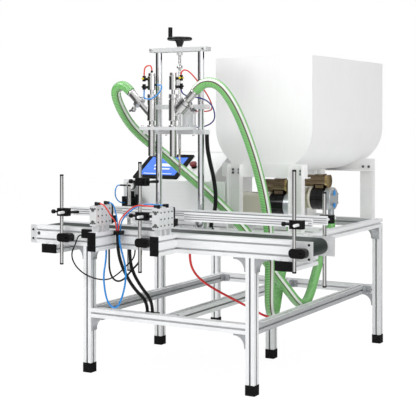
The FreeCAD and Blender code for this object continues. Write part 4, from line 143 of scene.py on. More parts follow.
def bake(holder: bpy.types.Object) -> bpy.types.Mesh:
    """Reads an object's finished mesh and removes the object.

    Args:
        holder: The object, with its modifiers or its curve.

    Returns:
        The finished mesh.
    """
    bpy.context.view_layer.update()
    ready = holder.evaluated_get(bpy.context.evaluated_depsgraph_get())
    data = bpy.data.meshes.new_from_object(ready)
    bpy.data.objects.remove(holder)
    return data


def loft(mesh: bmesh.types.BMesh, rings: Sequence[Sequence[bmesh.types.BMVert]],
         slot: int = 0, smooth: bool = True) -> None:
    """Skins a row of rings and closes both ends.

    Args:
        mesh: Mesh that holds the rings.
        rings: Vertices of each ring, all of one number.
        slot: Material slot of the faces.
        smooth: Whether the skin is shaded smooth.
    """
    for low, high in zip(rings, rings[1:]):
        for step in range(len(low)):
            after = (step + 1) % len(low)
            face = mesh.faces.new((low[step], low[after], high[after], high[step]))
            face.material_index = slot
            face.smooth = smooth
    for ring in (list(reversed(rings[0])), rings[-1]):
        mesh.faces.new(ring).material_index = slot


# ------------------------------------------------------------------------ node graphs


class Graph:
    """Adds nodes to a tree and joins them, one call for each.

    Attributes:
        tree: The node tree that is built.
    """

    MIX_FIRST, MIX_SECOND, MIX_RESULT = 6, 7, 2  # colour sockets of a mix node

    def __init__(self, tree: bpy.types.NodeTree) -> None:
        """Starts on a tree."""
        self.tree = tree

    @classmethod
    def group(cls, name: str, kind: str, inputs: dict[str, str],
              outputs: dict[str, str]) -> tuple["Graph", bpy.types.bpy_prop_collection]:
        """Starts a node group.

        Args:
            name: Name of the group.
            kind: Type of its tree.
            inputs: Kind of each input socket by its name.
            outputs: Kind of each output socket by its name.

        Returns:
            The graph and the sockets that its inputs arrive on.
        """
        tree = bpy.data.node_groups.new(name, kind)
        for way, sockets in (("INPUT", inputs), ("OUTPUT", outputs)):
            for label, socket in sockets.items():
                tree.interface.new_socket(name=label, in_out=way,
                                          socket_type="NodeSocket" + socket)
        graph = cls(tree)
        return graph, graph.add("NodeGroupInput").outputs

    @classmethod
    def material(cls, name: str) -> tuple[bpy.types.Material, "Graph", bpy.types.Node]:
        """Starts a material.

        Args:
            name: Name of the material.

        Returns:
            The material, its graph and its surface shader.
        """
        material = bpy.data.materials.new(name)
        material.use_nodes = True
        return material, cls(material.node_tree), material.node_tree.nodes["Principled BSDF"]

    def add(self, kind: str, inputs: Optional[dict] = None, **settings: object) -> bpy.types.Node:
        """Adds one node.

        Args:
            kind: Type of the node.
            inputs: Values and sockets that go into it, by name or number.
            settings: The node's own settings.

        Returns:
            The new node.
        """
        node = self.tree.nodes.new(kind)
        for key, value in settings.items():
            setattr(node, key, value)
        self.feed(node, inputs or {})
        return node

    def feed(self, node: bpy.types.Node, inputs: dict) -> None:
        """Joins sockets to a node's inputs and sets the plain values.

        Args:
            node: The node.
            inputs: Values and sockets that go into it, by name or number.
        """
        for key, value in inputs.items():
            if isinstance(value, Socket):
                self.tree.links.new(value, node.inputs[key])
            else:
                node.inputs[key].default_value = value

    def calc(self, operation: str, *values: Union[Socket, float]) -> Socket:
        """Adds a maths node and returns its result."""
        return self.add("ShaderNodeMath", dict(enumerate(values)), operation=operation).outputs[0]

    def spread(self, value: Socket, low: float, high: float, **ends: Socket) -> Socket:
        """Maps a value from low and high to zero and one, or to the given ends.

        Args:
            value: The value.
            low: Value that gives the lower end.
            high: Value that gives the upper end.
            ends: To_Min and To_Max, where they aren't zero and one.

        Returns:
            The mapped value.
        """
        inputs = {"Value": value, "From Min": low, "From Max": high}
        inputs.update({key.replace("_", " "): end for key, end in ends.items()})
        return self.add("ShaderNodeMapRange", inputs).outputs["Result"]

    def noise(self, where: Socket, **values: Union[Socket, float]) -> Socket:
        """Adds noise at a place and returns its strength."""
        return self.add("ShaderNodeTexNoise", {"Vector": where, **values}).outputs["Fac"]

    def mix(self, share: Socket, *colours: Union[Socket, Triple]) -> Socket:
        """Mixes two colours by a share.

        Args:
            share: Share of the second colour.
            colours: Both colours, each plain or a socket.

        Returns:
            The mixed colour.
        """
        first, second = [(*colour, 1.0) if isinstance(colour, tuple) else colour
                         for colour in colours]
        ends = {"Factor": share, self.MIX_FIRST: first, self.MIX_SECOND: second}
        return self.add("ShaderNodeMix", ends, data_type="RGBA").outputs[self.MIX_RESULT]

    def nested(self, group: bpy.types.NodeTree, inputs: dict) -> bpy.types.bpy_prop_collection:
        """Places a node group and returns its outputs."""
        return self.add("ShaderNodeGroup", inputs, node_tree=group).outputs

    def mix_shaders(self, share: Socket, first: Socket, second: Socket) -> Socket:
        """Mixes two shaders by a share and returns the result."""
        return self.add("ShaderNodeMixShader", {0: share, 1: first, 2: second}).outputs[0]


# --------------------------------------------------------------------------- finishes


@dataclass(frozen=True)
class Finish:
    """One procedural finish.

    Attributes:
        name: Name of the material.
        colour: Base colour.
        second: Colour that the grain mixes in.
        metallic: Metal share, the same all over.
        roughness: Middle of the roughness range.
        spread: How far the roughness moves either way.
        grain: Kind of fine marks.
        scale: Marks per metre.
        bump: Height of the marks in metres.
        coat: Clear coat weight.
        specular: Specular level, the same all over.
    """

    name: str
    colour: Triple
    second: Triple
    metallic: float
    roughness: float
    spread: float = 0.05
    grain: Grain = Grain.EVEN
    scale: float = 900.0
    bump: float = 0.00002
    coat: float = 0.0
    specular: float = 0.5


PROFILE = Finish("anodised_profile", (0.93, 0.94, 0.95), (0.83, 0.84, 0.85), 0.1, 0.36,
                 scale=260.0)
PROFILE_X = Finish("anodised_profile_x", (0.93, 0.94, 0.95), (0.82, 0.83, 0.84), 0.1, 0.34,
                   grain=Grain.DRAWN_X)
# Painted shade: a darker grey for the faces inside profile slots, standing in for the shade that
# falls in them.
DARK_SLOT_SHADE = Finish("painted_slot_shade", (0.50, 0.51, 0.52), (0.38, 0.39, 0.40), 0.1, 0.6, scale=300.0)
# Painted shade, paler: for the faces inside the slots of the conveyor rails and cross beams.
PALE_SLOT_SHADE = Finish("painted_rail_slot_shade", (0.84, 0.85, 0.86), (0.72, 0.73, 0.74), 0.1, 0.5, scale=300.0)
BEZEL = Finish("panel_black", (0.003, 0.003, 0.0035), (0.008, 0.008, 0.009), 0.0, 0.5,
               spread=0.1, scale=1200.0, specular=0.05)
ROD_STEEL = Finish("warm_steel", (0.50, 0.45, 0.38), (0.36, 0.32, 0.27), 1.0, 0.2,
                   grain=Grain.TURNED)
MILLED = Finish("milled_aluminium", (0.86, 0.87, 0.88), (0.73, 0.74, 0.75), 0.3, 0.3,
                grain=Grain.DRAWN_X, scale=700.0)
CAST_METAL = Finish("cast_aluminium", (0.58, 0.59, 0.61), (0.42, 0.43, 0.45), 0.6, 0.5,
                    spread=0.1, bump=0.00006)
STEEL = Finish("satin_steel", (0.76, 0.755, 0.75), (0.54, 0.535, 0.53), 1.0, 0.16,
               grain=Grain.TURNED, scale=1400.0)
DARK_STEEL = Finish("dark_steel", (0.20, 0.20, 0.21), (0.10, 0.10, 0.11), 0.9, 0.35, spread=0.1)
CHROME = Finish("hard_chrome", (0.80, 0.81, 0.83), (0.68, 0.69, 0.72), 1.0, 0.07, spread=0.03,
                grain=Grain.TURNED, scale=300.0, bump=0.000004)
SHEET = Finish("brushed_sheet", (0.93, 0.93, 0.93), (0.87, 0.87, 0.875), 0.06, 0.42, spread=0.07,
               grain=Grain.DRAWN_Z, scale=420.0, bump=0.000006)
SHEET_X = Finish("cabinet_sheet", (0.90, 0.905, 0.91), (0.84, 0.845, 0.85), 0.1, 0.38,
                 spread=0.08, grain=Grain.DRAWN_X, scale=500.0, bump=0.00001)
LEG_SHEET = Finish("folded_steel", (0.94, 0.94, 0.935), (0.86, 0.86, 0.86), 0.1, 0.34,
                   spread=0.08, grain=Grain.DRAWN_X, scale=600.0, bump=0.00001)
BLACK = Finish("moulded_black", (0.003, 0.003, 0.0035), (0.009, 0.009, 0.010), 0.0, 0.36,
               spread=0.1, scale=1500.0, bump=0.00003, specular=0.18)
BLACK_GLOSS = Finish("black_enamel", (0.004, 0.004, 0.005), (0.010, 0.010, 0.011), 0.0, 0.18,
                     spread=0.06, scale=500.0, coat=0.1, specular=0.3)
BELT = Finish("belt_rubber", (0.012, 0.020, 0.018), (0.03, 0.042, 0.038), 0.0, 0.5, spread=0.1,
              scale=2600.0, bump=0.00008, specular=0.35)
CREAM = Finish("cream_enamel", (0.78, 0.76, 0.64), (0.66, 0.64, 0.52), 0.0, 0.26, spread=0.08,
               scale=300.0, bump=0.00005, coat=0.4)
GREY = Finish("pump_end_metal", (0.60, 0.63, 0.66), (0.44, 0.47, 0.50), 0.6, 0.3, spread=0.08,
              scale=300.0, coat=0.1)
BRONZE = Finish("brown_steel", (0.36, 0.27, 0.17), (0.20, 0.15, 0.10), 1.0, 0.22, spread=0.08,
                grain=Grain.DRAWN_X, scale=500.0)
BRASS = Finish("brass", (0.72, 0.55, 0.26), (0.55, 0.40, 0.18), 1.0, 0.22, spread=0.06,
               grain=Grain.TURNED, scale=700.0)
RED = Finish("red_plastic", (0.20, 0.004, 0.007), (0.12, 0.002, 0.004), 0.0, 0.3)
YELLOW = Finish("yellow_plastic", (0.85, 0.66, 0.02), (0.7, 0.52, 0.01), 0.0, 0.35, specular=0.3)
BLUE_CAP = Finish("blue_cap", (0.05, 0.33, 0.75), (0.03, 0.22, 0.6), 0.0, 0.3, specular=0.3)
DIAL = Finish("dial_white", (0.86, 0.86, 0.85), (0.8, 0.8, 0.79), 0.0, 0.3, scale=300.0)
PALE_MARK = Finish("pale_screen_mark", (0.80, 0.86, 0.95), (0.70, 0.78, 0.92), 0.0, 0.3,
                   scale=300.0)
ROSE_MARK = Finish("rose_screen_mark", (0.80, 0.25, 0.45), (0.70, 0.18, 0.38), 0.0, 0.3,
                   scale=300.0)
TUBE_RED = Finish("red_tube", (0.80, 0.05, 0.025), (0.62, 0.025, 0.012), 0.0, 0.25, scale=500.0,
                  coat=0.3, specular=0.4)
HOSE_RED = Finish("deep_red_hose", (0.72, 0.008, 0.014), (0.56, 0.005, 0.009), 0.0, 0.3,
                  scale=500.0, coat=0.3, specular=0.4)
TUBE_BLUE = Finish("light_blue_tube", (0.015, 0.29, 0.74), (0.01, 0.20, 0.6), 0.0, 0.25,
                   scale=500.0, coat=0.3, specular=0.4)
TUBE_NAVY = Finish("dark_blue_tube", (0.012, 0.03, 0.26), (0.008, 0.02, 0.18), 0.0, 0.25,
                   scale=500.0, coat=0.3, specular=0.4)
CABLE_BLACK = Finish("cable_black", (0.003, 0.003, 0.0035), (0.008, 0.008, 0.009), 0.0, 0.38,
                     specular=0.2)


class FinishShop:
    """Builds the shared group of marks once and one material per finish.

    Attributes:
        made: Materials by name.
        group: The shared group of marks.
    """

    def __init__(self) -> None:
        """Builds the shared group of marks."""
        self.made: dict[str, bpy.types.Material] = {}
        self.group = self.surface_group()

    def surface_group(self) -> bpy.types.NodeTree:
        """Builds the group that mixes colour, roughness and height from stretched noise.

        Returns:
            The group, which takes both colours and the sizes of the marks.
        """
        graph, source = Graph.group(
            "surface_marks", "ShaderNodeTree",
            {"Colour A": "Color", "Colour B": "Color", "Stretch": "Vector", "Scale": "Float",
             "Rough Low": "Float", "Rough High": "Float"},
            {"Colour": "Color", "Roughness": "Float", "Height": "Float"})
        where = graph.add("ShaderNodeTexCoord").outputs["Object"]
        stretched = graph.add("ShaderNodeVectorMath", {0: where, 1: source["Stretch"]},
                              operation="MULTIPLY").outputs[0]
        fine = graph.noise(stretched, Scale=source["Scale"], Detail=4.0, Roughness=0.6)
        broad = graph.noise(where, Scale=7.0, Detail=3.0)
        both = graph.calc("MULTIPLY_ADD", fine, 0.6, graph.calc("MULTIPLY", broad, 0.4))
        low, high = 0.3, 0.7
        colour = graph.mix(graph.spread(both, low, high), source["Colour A"], source["Colour B"])
        rough = graph.spread(both, low, high, To_Min=source["Rough Low"],
                             To_Max=source["Rough High"])
        graph.add("NodeGroupOutput", {"Colour": colour, "Roughness": rough, "Height": fine})
        return graph.tree

    def material(self, finish: Finish) -> bpy.types.Material:
        """Makes or returns the material of a finish.

        Args:
            finish: The finish.

        Returns:
            Its material.
        """
        if finish.name in self.made:
            return self.made[finish.name]
        material, graph, shader = Graph.material(finish.name)
        marks = graph.nested(self.group, {
            "Colour A": (*finish.colour, 1.0), "Colour B": (*finish.second, 1.0),
            "Stretch": finish.grain.value, "Scale": finish.scale,
            "Rough Low": max(0.02, finish.roughness - finish.spread),
            "Rough High": finish.roughness + finish.spread})
        bump = graph.add("ShaderNodeBump", {"Distance": finish.bump, "Height": marks["Height"]})
        graph.feed(shader, {
            "Metallic": finish.metallic, "Coat Weight": finish.coat,
            "Specular IOR Level": finish.specular, "Base Color": marks["Colour"],
            "Roughness": marks["Roughness"], "Normal": bump.outputs["Normal"]})
        self.made[finish.name] = material
        return material

    def hose(self) -> bpy.types.Material:
        """Makes or returns the green hose material, which reads crest and around.

        The wall is green with pale rings, which are a painted highlight on the rib crests, a
        white stripe and a thin dark line beside it.

        Returns:
            The material of both product hoses.
        """
        if "green_hose" in self.made:
            return self.made["green_hose"]
        material, graph, shader = Graph.material("green_hose")
        crest = graph.add("ShaderNodeAttribute", attribute_name="crest").outputs["Fac"]
        around = graph.add("ShaderNodeAttribute", attribute_name="around").outputs["Vector"]
        broad = graph.noise(graph.add("ShaderNodeTexCoord").outputs["Object"], Scale=22.0)
        base = graph.mix(broad, (0.03, 0.25, 0.035), (0.13, 0.47, 0.10))
        # Painted highlight: the rib crests are mixed towards pale green.
        ribbed = graph.mix(crest, base, (0.46, 0.80, 0.36))
        striped = graph.mix(self.band(graph, around, 0.0, 0.965), ribbed, (0.80, 0.84, 0.78))
        lined = graph.mix(self.band(graph, around, 0.40, 0.990), striped, (0.10, 0.03, 0.05))
        graph.feed(shader, {"Base Color": lined, "Roughness": 0.16, "Coat Weight": 0.5})
        self.made["green_hose"] = material
        return material

    def band(self, graph: Graph, around: Socket, turn: float, edge: float) -> Socket:
        """Masks a band along a hose.

        Args:
            graph: Graph of the hose material.
            around: Cosine and sine of the place round the hose.
            turn: Angle of the band's middle.
            edge: Cosine of half the band's width.

        Returns:
            A mask that is one inside the band.
        """
        parts = graph.add("ShaderNodeSeparateXYZ", {0: around}).outputs
        near = graph.calc("MULTIPLY_ADD", parts["Y"], math.sin(turn),
                          graph.calc("MULTIPLY", parts["X"], math.cos(turn)))
        blur = (1.0 - edge) * 0.15
        return graph.spread(near, edge - blur, edge + blur)

    def screen(self) -> bpy.types.Material:
        """Builds the lit blue of the touch screen.

        Returns:
            The material of the screen.
        """
        material, graph, shader = Graph.material("touch_screen")
        noise = graph.noise(graph.add("ShaderNodeUVMap").outputs["UV"], Scale=3.0)
        blue = graph.mix(noise, (0.02, 0.09, 0.62), (0.05, 0.22, 0.85))
        graph.feed(shader, {"Base Color": blue, "Emission Color": blue,
                            "Emission Strength": 0.2, "Roughness": 0.15})
        return material


# ------------------------------------------------------------------------------ meshes


class Sculptor:
    """Collects turned and boxed forms in one mesh, in machine millimetres.

    Attributes:
        shop: Maker of materials.
        mesh: The mesh so far.
        slots: Its materials in the order of their slots.
    """

    def __init__(self, shop: FinishShop) -> None:
        """Starts an empty mesh.

        Args:
            shop: Maker of materials.
        """
        self.shop = shop
        self.mesh = bmesh.new()
        self.slots: list[bpy.types.Material] = []

    def slot(self, finish: Finish) -> int:
        """Finds or adds the slot of a finish in this mesh.

        Args:
            finish: The finish.

        Returns:
            Number of its slot.
        """
        material = self.shop.material(finish)
        if material not in self.slots:
            self.slots.append(material)
        return self.slots.index(material)

    def ring(self, centre: Vector, side: Vector, other: Vector,
             reaches: Sequence[float]) -> list[bmesh.types.BMVert]:
        """Adds a ring of vertices, each at its own distance from the centre.

        Args:
            centre: Middle of the ring in machine millimetres.
            side: Direction of the first vertex.
            other: Direction a quarter turn further.
            reaches: Distance of each vertex.

        Returns:
            The vertices.
        """
        verts = []
        for step, reach in enumerate(reaches):
            angle = math.tau * step / len(reaches)
            turn = side * math.cos(angle) + other * math.sin(angle)
            verts.append(self.mesh.verts.new(place(*(centre + turn * reach))))
        return verts

    def turned(self, foot: Sequence[float], axis: Sequence[float],
               outline: Sequence[tuple[float, float]], finish: Finish, steps: int = 32) -> None:
        """Adds a closed turned form.

        Args:
            foot: Start of the axis.
            axis: Direction of the axis.
            outline: Radius and distance along the axis of each ring, from the start.
            finish: Finish of its faces.
            steps: Faces round the axis.
        """
        along = Vector(axis).normalized()
        side = along.orthogonal().normalized()
        rings = [self.ring(Vector(foot) + along * distance, side, along.cross(side),
                           [radius] * steps) for radius, distance in outline]
        loft(self.mesh, rings, self.slot(finish))

    def box(self, low: Triple, high: Triple, finish: Finish, bevel: float,
            turn: Matrix) -> None:
        """Adds a box with softened edges.

        Args:
            low: Lowest corner.
            high: Highest corner.
            finish: Finish of its faces.
            bevel: Width of the edge softening.
            turn: Placement that is applied to the box, in millimetres.
        """
        size = Vector(high) - Vector(low)
        centre = (Vector(high) + Vector(low)) / 2
        verts = bmesh.ops.create_cube(self.mesh, size=1.0)["verts"]
        for vert in verts:
            vert.co = Vector(a * b for a, b in zip(vert.co, size)) + centre
        edges = list({edge for vert in verts for edge in vert.link_edges})
        faces = list({face for vert in verts for face in vert.link_faces})
        if bevel > 0:
            done = bmesh.ops.bevel(self.mesh, geom=edges, offset=bevel, segments=2,
                                   profile=0.5, affect="EDGES")
            faces = [face for face in set(faces + done["faces"]) if face.is_valid]
        for vert in {vert for face in faces for vert in face.verts}:
            vert.co = place(*(turn @ vert.co))
        slot = self.slot(finish)
        for face in faces:
            face.material_index = slot

    def finish(self, name: str, body: Body) -> bpy.types.Object:
        """Closes the mesh and lets it ride on a body.

        Args:
            name: Name of the piece.
            body: Body that carries it.

        Returns:
            The finished object.
        """
        piece = settle(name, self.mesh)
        for material in self.slots:
            piece.data.materials.append(material)
        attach(piece, body.value)
        LOG.info("piece %s on %s", name, body.value)
        return piece


class ScrewKit:
    """Socket screws that are set on points by Geometry Nodes.

    Attributes:
        shop: Maker of materials.
        tree: Node tree that sets one head on each point.
    """

    def __init__(self, shop: FinishShop) -> None:
        """Builds the tree that sets the heads."""
        self.shop = shop
        self.tree = self.build_tree()

    def build_tree(self) -> bpy.types.NodeTree:
        """Builds the tree: one socket head on each point, turned to its `aim`.

        Returns:
            The tree, which takes the sizes and the finish of a head.
        """
        graph, source = Graph.group(
            "socket_heads", "GeometryNodeTree",
            {"Geometry": "Geometry", "Radius": "Float", "Height": "Float", "Socket": "Float",
             "Finish": "Material"}, {"Geometry": "Geometry"})
        head = graph.add("GeometryNodeMeshCone", {
            "Vertices": 20, "Radius Bottom": source["Radius"], "Depth": source["Height"],
            "Radius Top": graph.calc("MULTIPLY", source["Radius"], 0.86)})
        socket = graph.add("GeometryNodeMeshCylinder", {
            "Vertices": 6, "Radius": source["Socket"], "Depth": source["Height"]})
        offset = graph.add("ShaderNodeCombineXYZ", {"Z": source["Height"]})
        lift = graph.add("GeometryNodeTransform", {
            "Geometry": socket.outputs["Mesh"], "Translation": offset.outputs[0]})
        carve = graph.add("GeometryNodeMeshBoolean", {
            "Mesh 1": head.outputs["Mesh"], "Mesh 2": lift.outputs["Geometry"]},
            operation="DIFFERENCE")
        aim = graph.add("GeometryNodeInputNamedAttribute", {"Name": "aim"},
                        data_type="FLOAT_VECTOR")
        turn = graph.add("FunctionNodeAlignRotationToVector",
                         {"Vector": aim.outputs["Attribute"]}, axis="Z")
        points = graph.add("GeometryNodeInstanceOnPoints", {
            "Points": source["Geometry"], "Instance": carve.outputs["Mesh"],
            "Rotation": turn.outputs["Rotation"]})
        solid = graph.add("GeometryNodeRealizeInstances",
                          {"Geometry": points.outputs["Instances"]})
        paint = graph.add("GeometryNodeSetMaterial", {
            "Geometry": solid.outputs["Geometry"], "Material": source["Finish"]})
        graph.add("NodeGroupOutput", {"Geometry": paint.outputs["Geometry"]})
        return graph.tree

    def fit(self, name: str, spots: Iterable[tuple[Triple, Triple]], radius: float,
            height: float, finish: Finish, body: Body = Body.FRAME) -> None:
        """Sets one screw head on each spot, as one plain mesh.

        Args:
            name: Name of the piece.
            spots: Seat of each head and the way it faces.
            radius: Head radius.
            height: Head height.
            finish: Finish of the heads.
            body: Body that carries them.
        """
        seats = [(place(*spot) + Vector(aim) * (height * MM / 2), aim) for spot, aim in spots]
        data = bpy.data.meshes.new(name + "_seats")
        data.from_pydata([tuple(seat) for seat, aim in seats], [], [])
        layer = data.attributes.new("aim", "FLOAT_VECTOR", "POINT")
        for index, (seat, aim) in enumerate(seats):
            layer.data[index].vector = aim
        holder = put(name + "_seats", data)
        modifier = holder.modifiers.new("heads", "NODES")
        modifier.node_group = self.tree
        values = {"Radius": radius * MM, "Height": height * MM, "Socket": radius * MM * 0.5,
                  "Finish": self.shop.material(finish)}
        for item in self.tree.interface.items_tree:
            if item.in_out == "INPUT" and item.name in values:
                modifier[item.identifier] = values[item.name]
        result = bake(holder)
        result.name = name
        piece = put(name, result)
        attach(piece, body.value)
        LOG.info("piece %s with %d heads", name, len(seats))


# ------------------------------------------------------------------------------- cords


class Skin(Enum):
    """Outside of a cord: rib pitch, sides, rib depth in millimetres, and sharpness."""

    SMOOTH = (0.0, 0, 0.0, 0.0)
    SPIRAL = (7.0, 24, 0.7, 1.5)
    RINGS = (5.0, 14, 1.4, 0.7)


@dataclass(frozen=True)
class CordPlan:
    """One hose, conduit, cable or tube.

    Attributes:
        name: Name of the piece.
        node: CAD node that it stands for.
        radius: Outside radius in millimetres.
        points: Control points of its line, as in the CAD source.
        finish: Its finish; None is the green hose.
        skin: Its outside.
        body: Body that carries it.
        stiffness: Word for how stiff it is; not used.
        stays_below: Height under which it would stay, where its top followed the head; not used.
        moves_above: Height over which it would move with the head; where it isn't zero the cord
            is only fixed in place on no body.
    """

    name: str
    node: str
    radius: float
    points: tuple[Triple, ...]
    finish: Optional[Finish] = None
    skin: Skin = Skin.SMOOTH
    body: Body = Body.FRAME
    stiffness: str = "medium"
    stays_below: float = 0.0
    moves_above: float = 0.0


LEFT_HOSE = (
    (-227.7, 112, 1233.7), (-251.2, 112, 1257.2), (-277.4, 112.5, 1262.5),
    (-302, 116, 1252), (-316.5, 124, 1230), (-315, 140, 1190),
    (-305, 176, 1130), (-285, 222, 1070), (-246, 280, 1010),
    (-190, 328, 957), (-123, 343, 897), (-25, 345, 829), (71, 350, 751), (155, 355, 679),
    (237, 358, 600), (296, 372, 510), (345, 410, 425), (368, 480, 350), (373, 560, 288),
    (372, 640, 262), (368, 716, 308), (360, 794, 392), (348, 870, 452), (338, 950, 478),
    (331, 1006, 504), (329, 1045, 556), (329, 1045, 626),
)
RIGHT_HOSE = (
    (105.7, 112, 1233.7), (131.2, 112, 1259.2), (168, 112, 1270), (206, 117, 1262),
    (238, 130, 1232), (272, 162, 1160), (298, 212, 1050), (320, 255, 929), (341, 280, 809),
    (357, 290, 702), (366, 292, 595), (369, 293, 488), (364, 298, 392), (352, 322, 306),
    (338, 378, 256), (318, 446, 262), (301, 506, 324), (296, 548, 408), (306, 574, 488),
    (329, 590, 558), (329, 590, 626),
)
HEAD_CONDUIT = (
    (75, 262, 1046), (75, 262, 996), (77, 284, 926), (88, 300, 854), (97, 304, 778),
    (92, 304, 704), (74.5, 300, 668), (74.5, 300, 629),
)
CONDUIT_A = (
    (-203, -24, 618), (-203, -24, 566), (-188, -26, 504), (-162, -16, 440), (-134, 10, 380),
    (-104, 58, 326), (-104, 58, 282),
)
CONDUIT_B = (
    (-174, 26, 554), (-174, 26, 508), (-160, 32, 448), (-126, 44, 388), (-78, 58, 330),
    (-78, 58, 282),
)
BLUE_LOOP = (
    (-188, -32, 618), (-188, -32, 586), (-162, -46, 536), (-144, -48, 482), (-145, -48, 418),
    (-162, -48, 356), (-184, -48, 312), (-214, -46, 304), (-244, -42, 330), (-264, -34, 378),
    (-280, -20, 440), (-293, 20, 504), (-293, 20, 554),
)
SENSOR_CABLE = (
    (-399, -11, 603.4), (-421, -11, 603.4), (-433, -13, 567.4), (-458, -20, 512),
    (-420, -22, 454), (-345, -16, 418), (-262, -8, 414), (-206, -6, 450), (-168, 0, 488),
    (-142, 20, 520), (-142, 20, 554),
)
CABLE_LOOP = (
    (-278, 20, 554), (-278, 20, 508), (-276, 18, 458), (-258, 14, 422), (-226, 10, 408),
    (-190, 8, 422), (-154, 8, 462), (-110, 20, 508), (-110, 20, 554),
)
RED_HOSE = (
    (132, 20, 554), (132, 20, 516), (130, 62, 464), (142, 118, 420), (172, 172, 382),
    (216, 220, 346), (264, 260, 312), (308, 286, 284), (348, 298, 264), (378, 298, 264),
)
REGULATOR_TUBE = (
    (-454, 394, 716), (-454, 372, 716), (-470, 360, 728), (-482, 358, 752), (-486, 366, 780),
    (-482, 376, 800), (-464, 376, 800),
)
STOP_TUBES = (
    ((-233, -111.6, 754.5), (-216, -111.6, 754.5), (-204, -96, 728), (-199, -76, 700),
     (-205, -30, 668), (-205, -30, 634)),
    ((-233, -44.4, 754.5), (-216, -44.4, 754.5), (-206, -40, 730), (-202, -32, 694),
     (-208, -18, 664), (-208, -18, 634)),
    ((41, -111.6, 754.5), (6, -111.6, 754.5), (-44, -96, 756), (-92, -78, 742),
     (-142, -58, 712), (-195, -30, 672), (-195, -30, 634)),
    ((41, -44.4, 754.5), (6, -44.4, 754.5), (-44, -48, 757), (-96, -52, 740),
     (-146, -44, 706), (-192, -18, 668), (-192, -18, 634)),
)
HEAD_TUBES = (
    ((-156, 112, 1302), (-156, 112, 1320), (-152, 112, 1340), (-134, 112, 1348),
     (-116, 112, 1344), (-116, 112, 1324)),
    ((-156, 112, 1242), (-156, 112, 1224), (-142, 88, 1204), (-110, 84, 1198),
     (-80, 88, 1210), (-60, 104, 1242), (-66, 112, 1262), (-88, 112, 1262)),
    ((34, 112, 1302), (34, 112, 1320), (56, 118, 1326), (80, 132, 1302), (100, 160, 1262),
     (112, 200, 1220), (112, 240, 1180), (92, 278, 1153), (48, 308, 1147), (-2, 314, 1147),
     (-16, 310, 1147), (-16, 290, 1147)),
    ((34, 112, 1242), (34, 112, 1228), (40, 138, 1214), (56, 160, 1210), (84, 176, 1206),
     (112, 190, 1196), (128, 220, 1170), (120, 256, 1130), (92, 290, 1100), (40, 310, 1080),
     (-2, 316, 1076), (-16, 310, 1076), (-16, 290, 1076)),
)


def cord_plans() -> list[CordPlan]:
    """Lists every cord of the machine.

    Returns:
        The plans, in the order they are made.
    """
    rises = {"stays_below": 690.0, "moves_above": 1200.0}
    plans = [
        CordPlan("product_hose_left", "left_hose", 22.0, LEFT_HOSE, None, Skin.SPIRAL, **rises),
        CordPlan("product_hose_right", "right_hose", 22.0, RIGHT_HOSE, None, Skin.SPIRAL,
                 **rises),
        CordPlan("head_conduit_black", "head_conduit", 10.0, HEAD_CONDUIT, CABLE_BLACK,
                 Skin.RINGS, stays_below=660.0, moves_above=1030.0),
        CordPlan("air_conduit_a", "conduit_a", 8.0, CONDUIT_A, CABLE_BLACK, Skin.RINGS),
        CordPlan("air_conduit_b", "conduit_b", 8.0, CONDUIT_B, CABLE_BLACK, Skin.RINGS),
        CordPlan("air_loop_blue", "blue_loop", 4.0, BLUE_LOOP, TUBE_BLUE),
        CordPlan("sensor_lead", "sensor_cable", 3.0, SENSOR_CABLE, CABLE_BLACK,
                 stiffness="limp"),
        CordPlan("drive_lead", "cable_loop", 4.0, CABLE_LOOP, CABLE_BLACK),
        CordPlan("air_hose_red", "red_hose", 5.0, RED_HOSE, HOSE_RED),
        CordPlan("gauge_tube", "regulator_tube", 3.0, REGULATOR_TUBE, TUBE_BLUE),
    ]
    colours = (TUBE_RED, TUBE_BLUE, TUBE_RED, TUBE_BLUE)
    for number, (points, finish) in enumerate(zip(STOP_TUBES, colours), 1):
        plans.append(CordPlan("stop_air_%d" % number, "stop_tube_%d" % number, 3.0, points,
                              finish, stiffness="limp"))
    colours = (TUBE_RED, TUBE_BLUE, TUBE_RED, TUBE_NAVY)
    for number, (points, finish) in enumerate(zip(HEAD_TUBES, colours), 1):
        plans.append(CordPlan("head_air_%d" % number, "head_air_tubes", 3.0, points, finish,
                              body=Body.HEAD, stiffness="limp"))
    return plans


